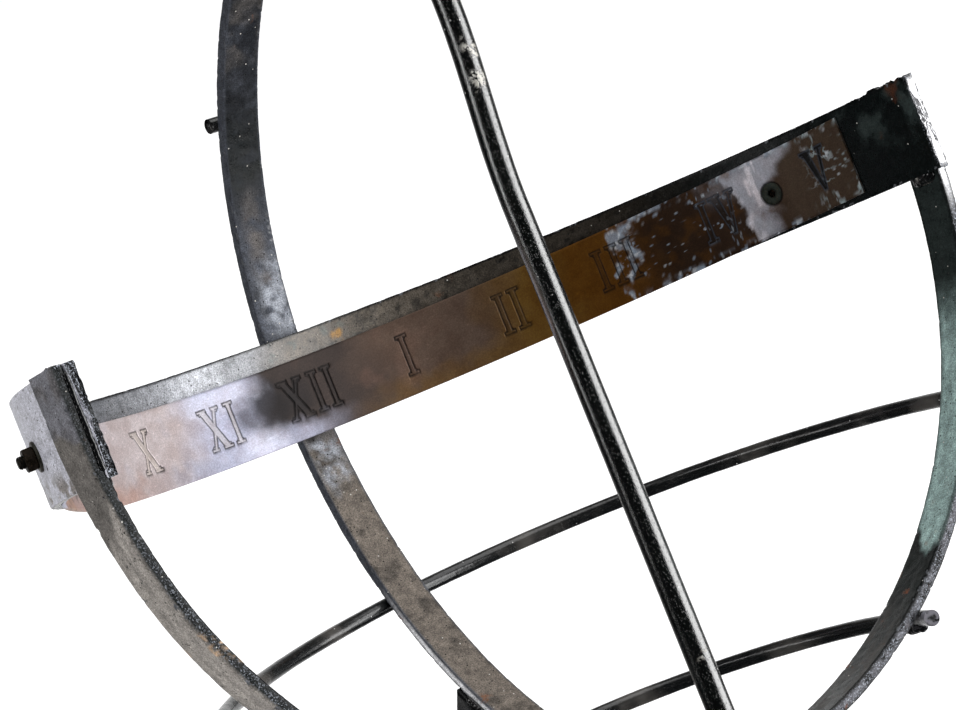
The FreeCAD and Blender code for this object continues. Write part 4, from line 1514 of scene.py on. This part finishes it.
def clamp_boss():
    radius = (BOSS_HIGH[0] - BOSS_LOW[0]) / 2
    outline = eased(radius, SOCKET_HIGH[0] - 2.5, -BOSS_LOW[1], 1.0, 1.2, bore=SHANK_RADIUS + 0.05)
    return stand_shell(outline, 72, 360, True, CLAMP_START, SOUTH)


def clamp_pad():
    outline = eased(SHANK_RADIUS - 0.02, SLIDING_GAP - PAD_HIGH[1], -PAD_LOW[1], 0.4, 1.0)
    return lathe(outline, 48, start=CLAMP_START, axis=SOUTH)


def clamp_screw():
    """Screw with a round head, made southward from the stem's axis."""
    start = -SCREW_HIGH[1]
    end = -SCREW_LOW[1]
    head = end - HEAD_LENGTH
    outline = [(start, 0), (start, SHANK_RADIUS - 1)]
    for height in np.arange(start + 0.5, head - 1, 0.25):
        outline.append((height, threaded(SHANK_RADIUS - 0.02, height * 0.67)))
    ridge = eased_corners((SCREW_HIGH[0] - SCREW_LOW[0]) / 2, head, end, 1.0, 0)
    ridge[0] = (head, SHANK_RADIUS - 0.4)
    outline += list(filled(ridge, 1.0, closed=False))
    return lathe(outline, 72, start=CLAMP_START, axis=SOUTH).paint(CLAMP_TONE)


def bar_line(radius, low, high):
    return lathe(eased(radius, low, high, 0.6), 40, start=BAR_CENTRE * (0, 1, 1), axis=X_AXIS)


def tommy_bar():
    return bar_line(BAR_RADIUS, BAR_LOW[0], BAR_HIGH[0]).paint(BAR_TONE)


def bar_knobs():
    radius = (KNOB_HIGH[2] - KNOB_LOW[2]) / 2
    middle = (KNOB_LOW + KNOB_HIGH) / 2
    turns = np.radians(np.linspace(180, 0, 28))
    outline = [(radius * math.cos(turn), radius * math.sin(turn)) for turn in turns]
    shells = []
    for side in (-1, 1):
        place = side * (KNOB_HIGH[0] - radius) * X_AXIS + middle * (0, 1, 1)
        shells.append(lathe(outline, 48, start=place, axis=X_AXIS))
    return joined(shells).paint(KNOB_TONE)


# --- stage ---

def add_floor():
    mesh = bpy.data.meshes.new("studio_floor")
    corners_at = [(x * FLOOR_HALF, y * FLOOR_HALF, 0) for x, y in ((-1, -1), (1, -1), (1, 1), (-1, 1))]
    mesh.from_pydata(corners_at, [], [(0, 1, 2, 3)])
    floor = scene_object("studio_floor", mesh)
    shader = Shader("pale_floor")
    colour = shader.blend(shader.noise(300.0, 3.0), srgb(236, 236, 236), srgb(240, 240, 240))
    mesh.materials.append(shader.finish(Base_Color=colour, Roughness=0.8, Emission_Color=srgb(255, 255, 255),
                                        Emission_Strength=0.35))
    floor.visible_glossy = False


def direction(azimuth, elevation):
    """Unit vector for a compass-like azimuth: 0 is south and 90 is east."""
    flat = math.cos(math.radians(elevation))
    turn = math.radians(azimuth)
    return np.array([math.sin(turn) * flat, -math.cos(turn) * flat, math.sin(math.radians(elevation))])


def look_at(thing, target):
    thing.rotation_euler = (Vector(target) - thing.location).to_track_quat("-Z", "Y").to_euler()


def add_softbox(name, turn, elevation, distance, wide, tall, radiance):
    """Area light aimed at the dial, turned from the camera's azimuth. Sizes here are metres."""
    light = bpy.data.lights.new(name, "AREA")
    light.shape = "RECTANGLE"
    light.size = wide
    light.size_y = tall
    light.energy = radiance * math.pi * wide * tall
    lamp = scene_object(name, light)
    lamp.location = CENTRE * MM + direction(CAMERA_AZIMUTH + turn, elevation) * distance
    look_at(lamp, CENTRE * MM)
    lamp.visible_camera = False


def add_world():
    """White studio: bright behind the dial, dim on the camera's side, plain white to the camera."""
    world = bpy.data.worlds.new("studio")
    world.use_nodes = True
    bpy.context.scene.world = world
    nodes = Nodes(world.node_tree)
    place = nodes.node("ShaderNodeTexCoord").outputs["Generated"]
    inputs = {0: place, 1: direction(CAMERA_AZIMUTH, CAMERA_ELEVATION).tolist()}
    toward = nodes.node("ShaderNodeVectorMath", inputs, operation="DOT_PRODUCT").outputs["Value"]
    fade = nodes.step(toward, -0.3, 0.6, 1.0, 0.10)
    mirror = nodes.step(toward, -0.98, -0.55, 1.0, 0.012)
    path = nodes.node("ShaderNodeLightPath").outputs
    choice = nodes.node("ShaderNodeMix", {0: path["Is Glossy Ray"], 2: fade, 3: mirror}).outputs[0]
    strength = nodes.most(choice, path["Is Camera Ray"])
    nodes.feed(world.node_tree.nodes["Background"], {"Strength": strength, "Color": np.ones(3)})


def add_camera():
    data = bpy.data.cameras.new("camera")
    data.lens = CAMERA_LENS
    data.sensor_width = CAMERA_SENSOR
    camera = scene_object("camera", data)
    aim = (CENTRE + CAMERA_AIM) * MM
    camera.location = aim + direction(CAMERA_AZIMUTH, CAMERA_ELEVATION) * CAMERA_DISTANCE * MM
    look_at(camera, aim)
    bpy.context.scene.camera = camera


def add_cage():
    """Pieces made in the dial's own frame."""
    pieces = [
        ("hour_band", hour_band(), IRON),
        ("hour_plate", hour_plate(), COPPER),
        ("plate_screws", plate_screws(), PLATED),
        ("plate_washers", plate_washers(), PLATED),
        ("plate_nuts", plate_nuts(), PLATED),
        ("meridian_ring", meridian_ring(), DUSTY_IRON),
        ("east_west_half_ring", east_west_half_ring(), IRON),
        ("gnomon_rod", gnomon_rod(), GLOSS),
        ("pole_spacer", pole_spacer(), IRON),
        ("rod_stub", rod_stub(), ROD_GLOSS),
        ("rod_welds", rod_welds(), WELD),
        ("band_end_welds", band_end_welds(), WELD),
        ("noon_welds", noon_welds(), WELD),
        ("pole_welds", pole_welds(), WELD),
    ]
    for seed, (node, heights) in enumerate(ROD_HEIGHTS.items(), 140):
        pieces.append((node, cage_rod(heights, seed), ROD_GLOSS))
    for piece in pieces:
        add_piece(*piece, "dial", tilted=True)


def add_stand():
    """Pieces made in the world's frame, with their holes."""
    stem_weld = ring_bead(SADDLE_LOW[2], STEM_HIGH[0] - 0.6, WELD_RADIUS, 370)
    socket_weld = ring_bead(BASE_HIGH[2], SOCKET_HIGH[0], WELD_RADIUS, 380)
    pieces = {}
    for node, shell, look, body in (
            ("saddle_block", saddle_block(), STAND_IRON, "dial"),
            ("saddle_welds", saddle_welds(), WELD, "dial"),
            ("stem", stem(), STAND_IRON, "dial"),
            ("stem_collar", stem_collar(), STAND_IRON, "dial"),
            ("stem_weld", stem_weld, WELD, "dial"),
            ("base_flange", base_flange(), STAND_IRON, "stand"),
            ("socket_tube", socket_tube(), STAND_IRON, "stand"),
            ("socket_weld", socket_weld, WELD, "stand"),
            ("gussets", gussets(), STAND_IRON, "stand"),
            ("clamp_boss", clamp_boss(), STAND_IRON, "stand"),
            ("clamp_pad", clamp_pad(), BRASS, "pad"),
            ("clamp_screw", clamp_screw(), PLATED, "clamp_screw"),
            ("tommy_bar", tommy_bar(), PLATED, "tommy_bar"),
            ("bar_knobs", bar_knobs(), GLOSS, "tommy_bar")):
        pieces[node] = add_piece(node, shell, look, body)
    for index in range(BOLT_COUNT):
        drilled(pieces["base_flange"], bolt_hole_cutter(index))
    wide = SHANK_RADIUS + 0.1
    drill = lathe([(0, 0), (0, wide), (DRILL_REACH, wide), (DRILL_REACH, 0)], 48, False, CLAMP_START, SOUTH)
    drilled(pieces["socket_tube"], drill)
    drilled(pieces["clamp_screw"], bar_line(BAR_RADIUS + 0.05, -20, 20))


def add_stage():
    add_floor()
    add_world()
    add_softbox("right_softbox", turn=82, elevation=12, distance=1.7, wide=1.5, tall=2.4, radiance=4.4)
    add_softbox("left_strip", turn=-62, elevation=20, distance=1.8, wide=0.22, tall=2.2, radiance=5.0)
    add_softbox("top_softbox", turn=160, elevation=72, distance=2.0, wide=2.4, tall=2.0, radiance=1.6)
    add_camera()
    bpy.context.scene.view_settings.view_transform = "Standard"


add_cage()
add_stand()
add_stage()
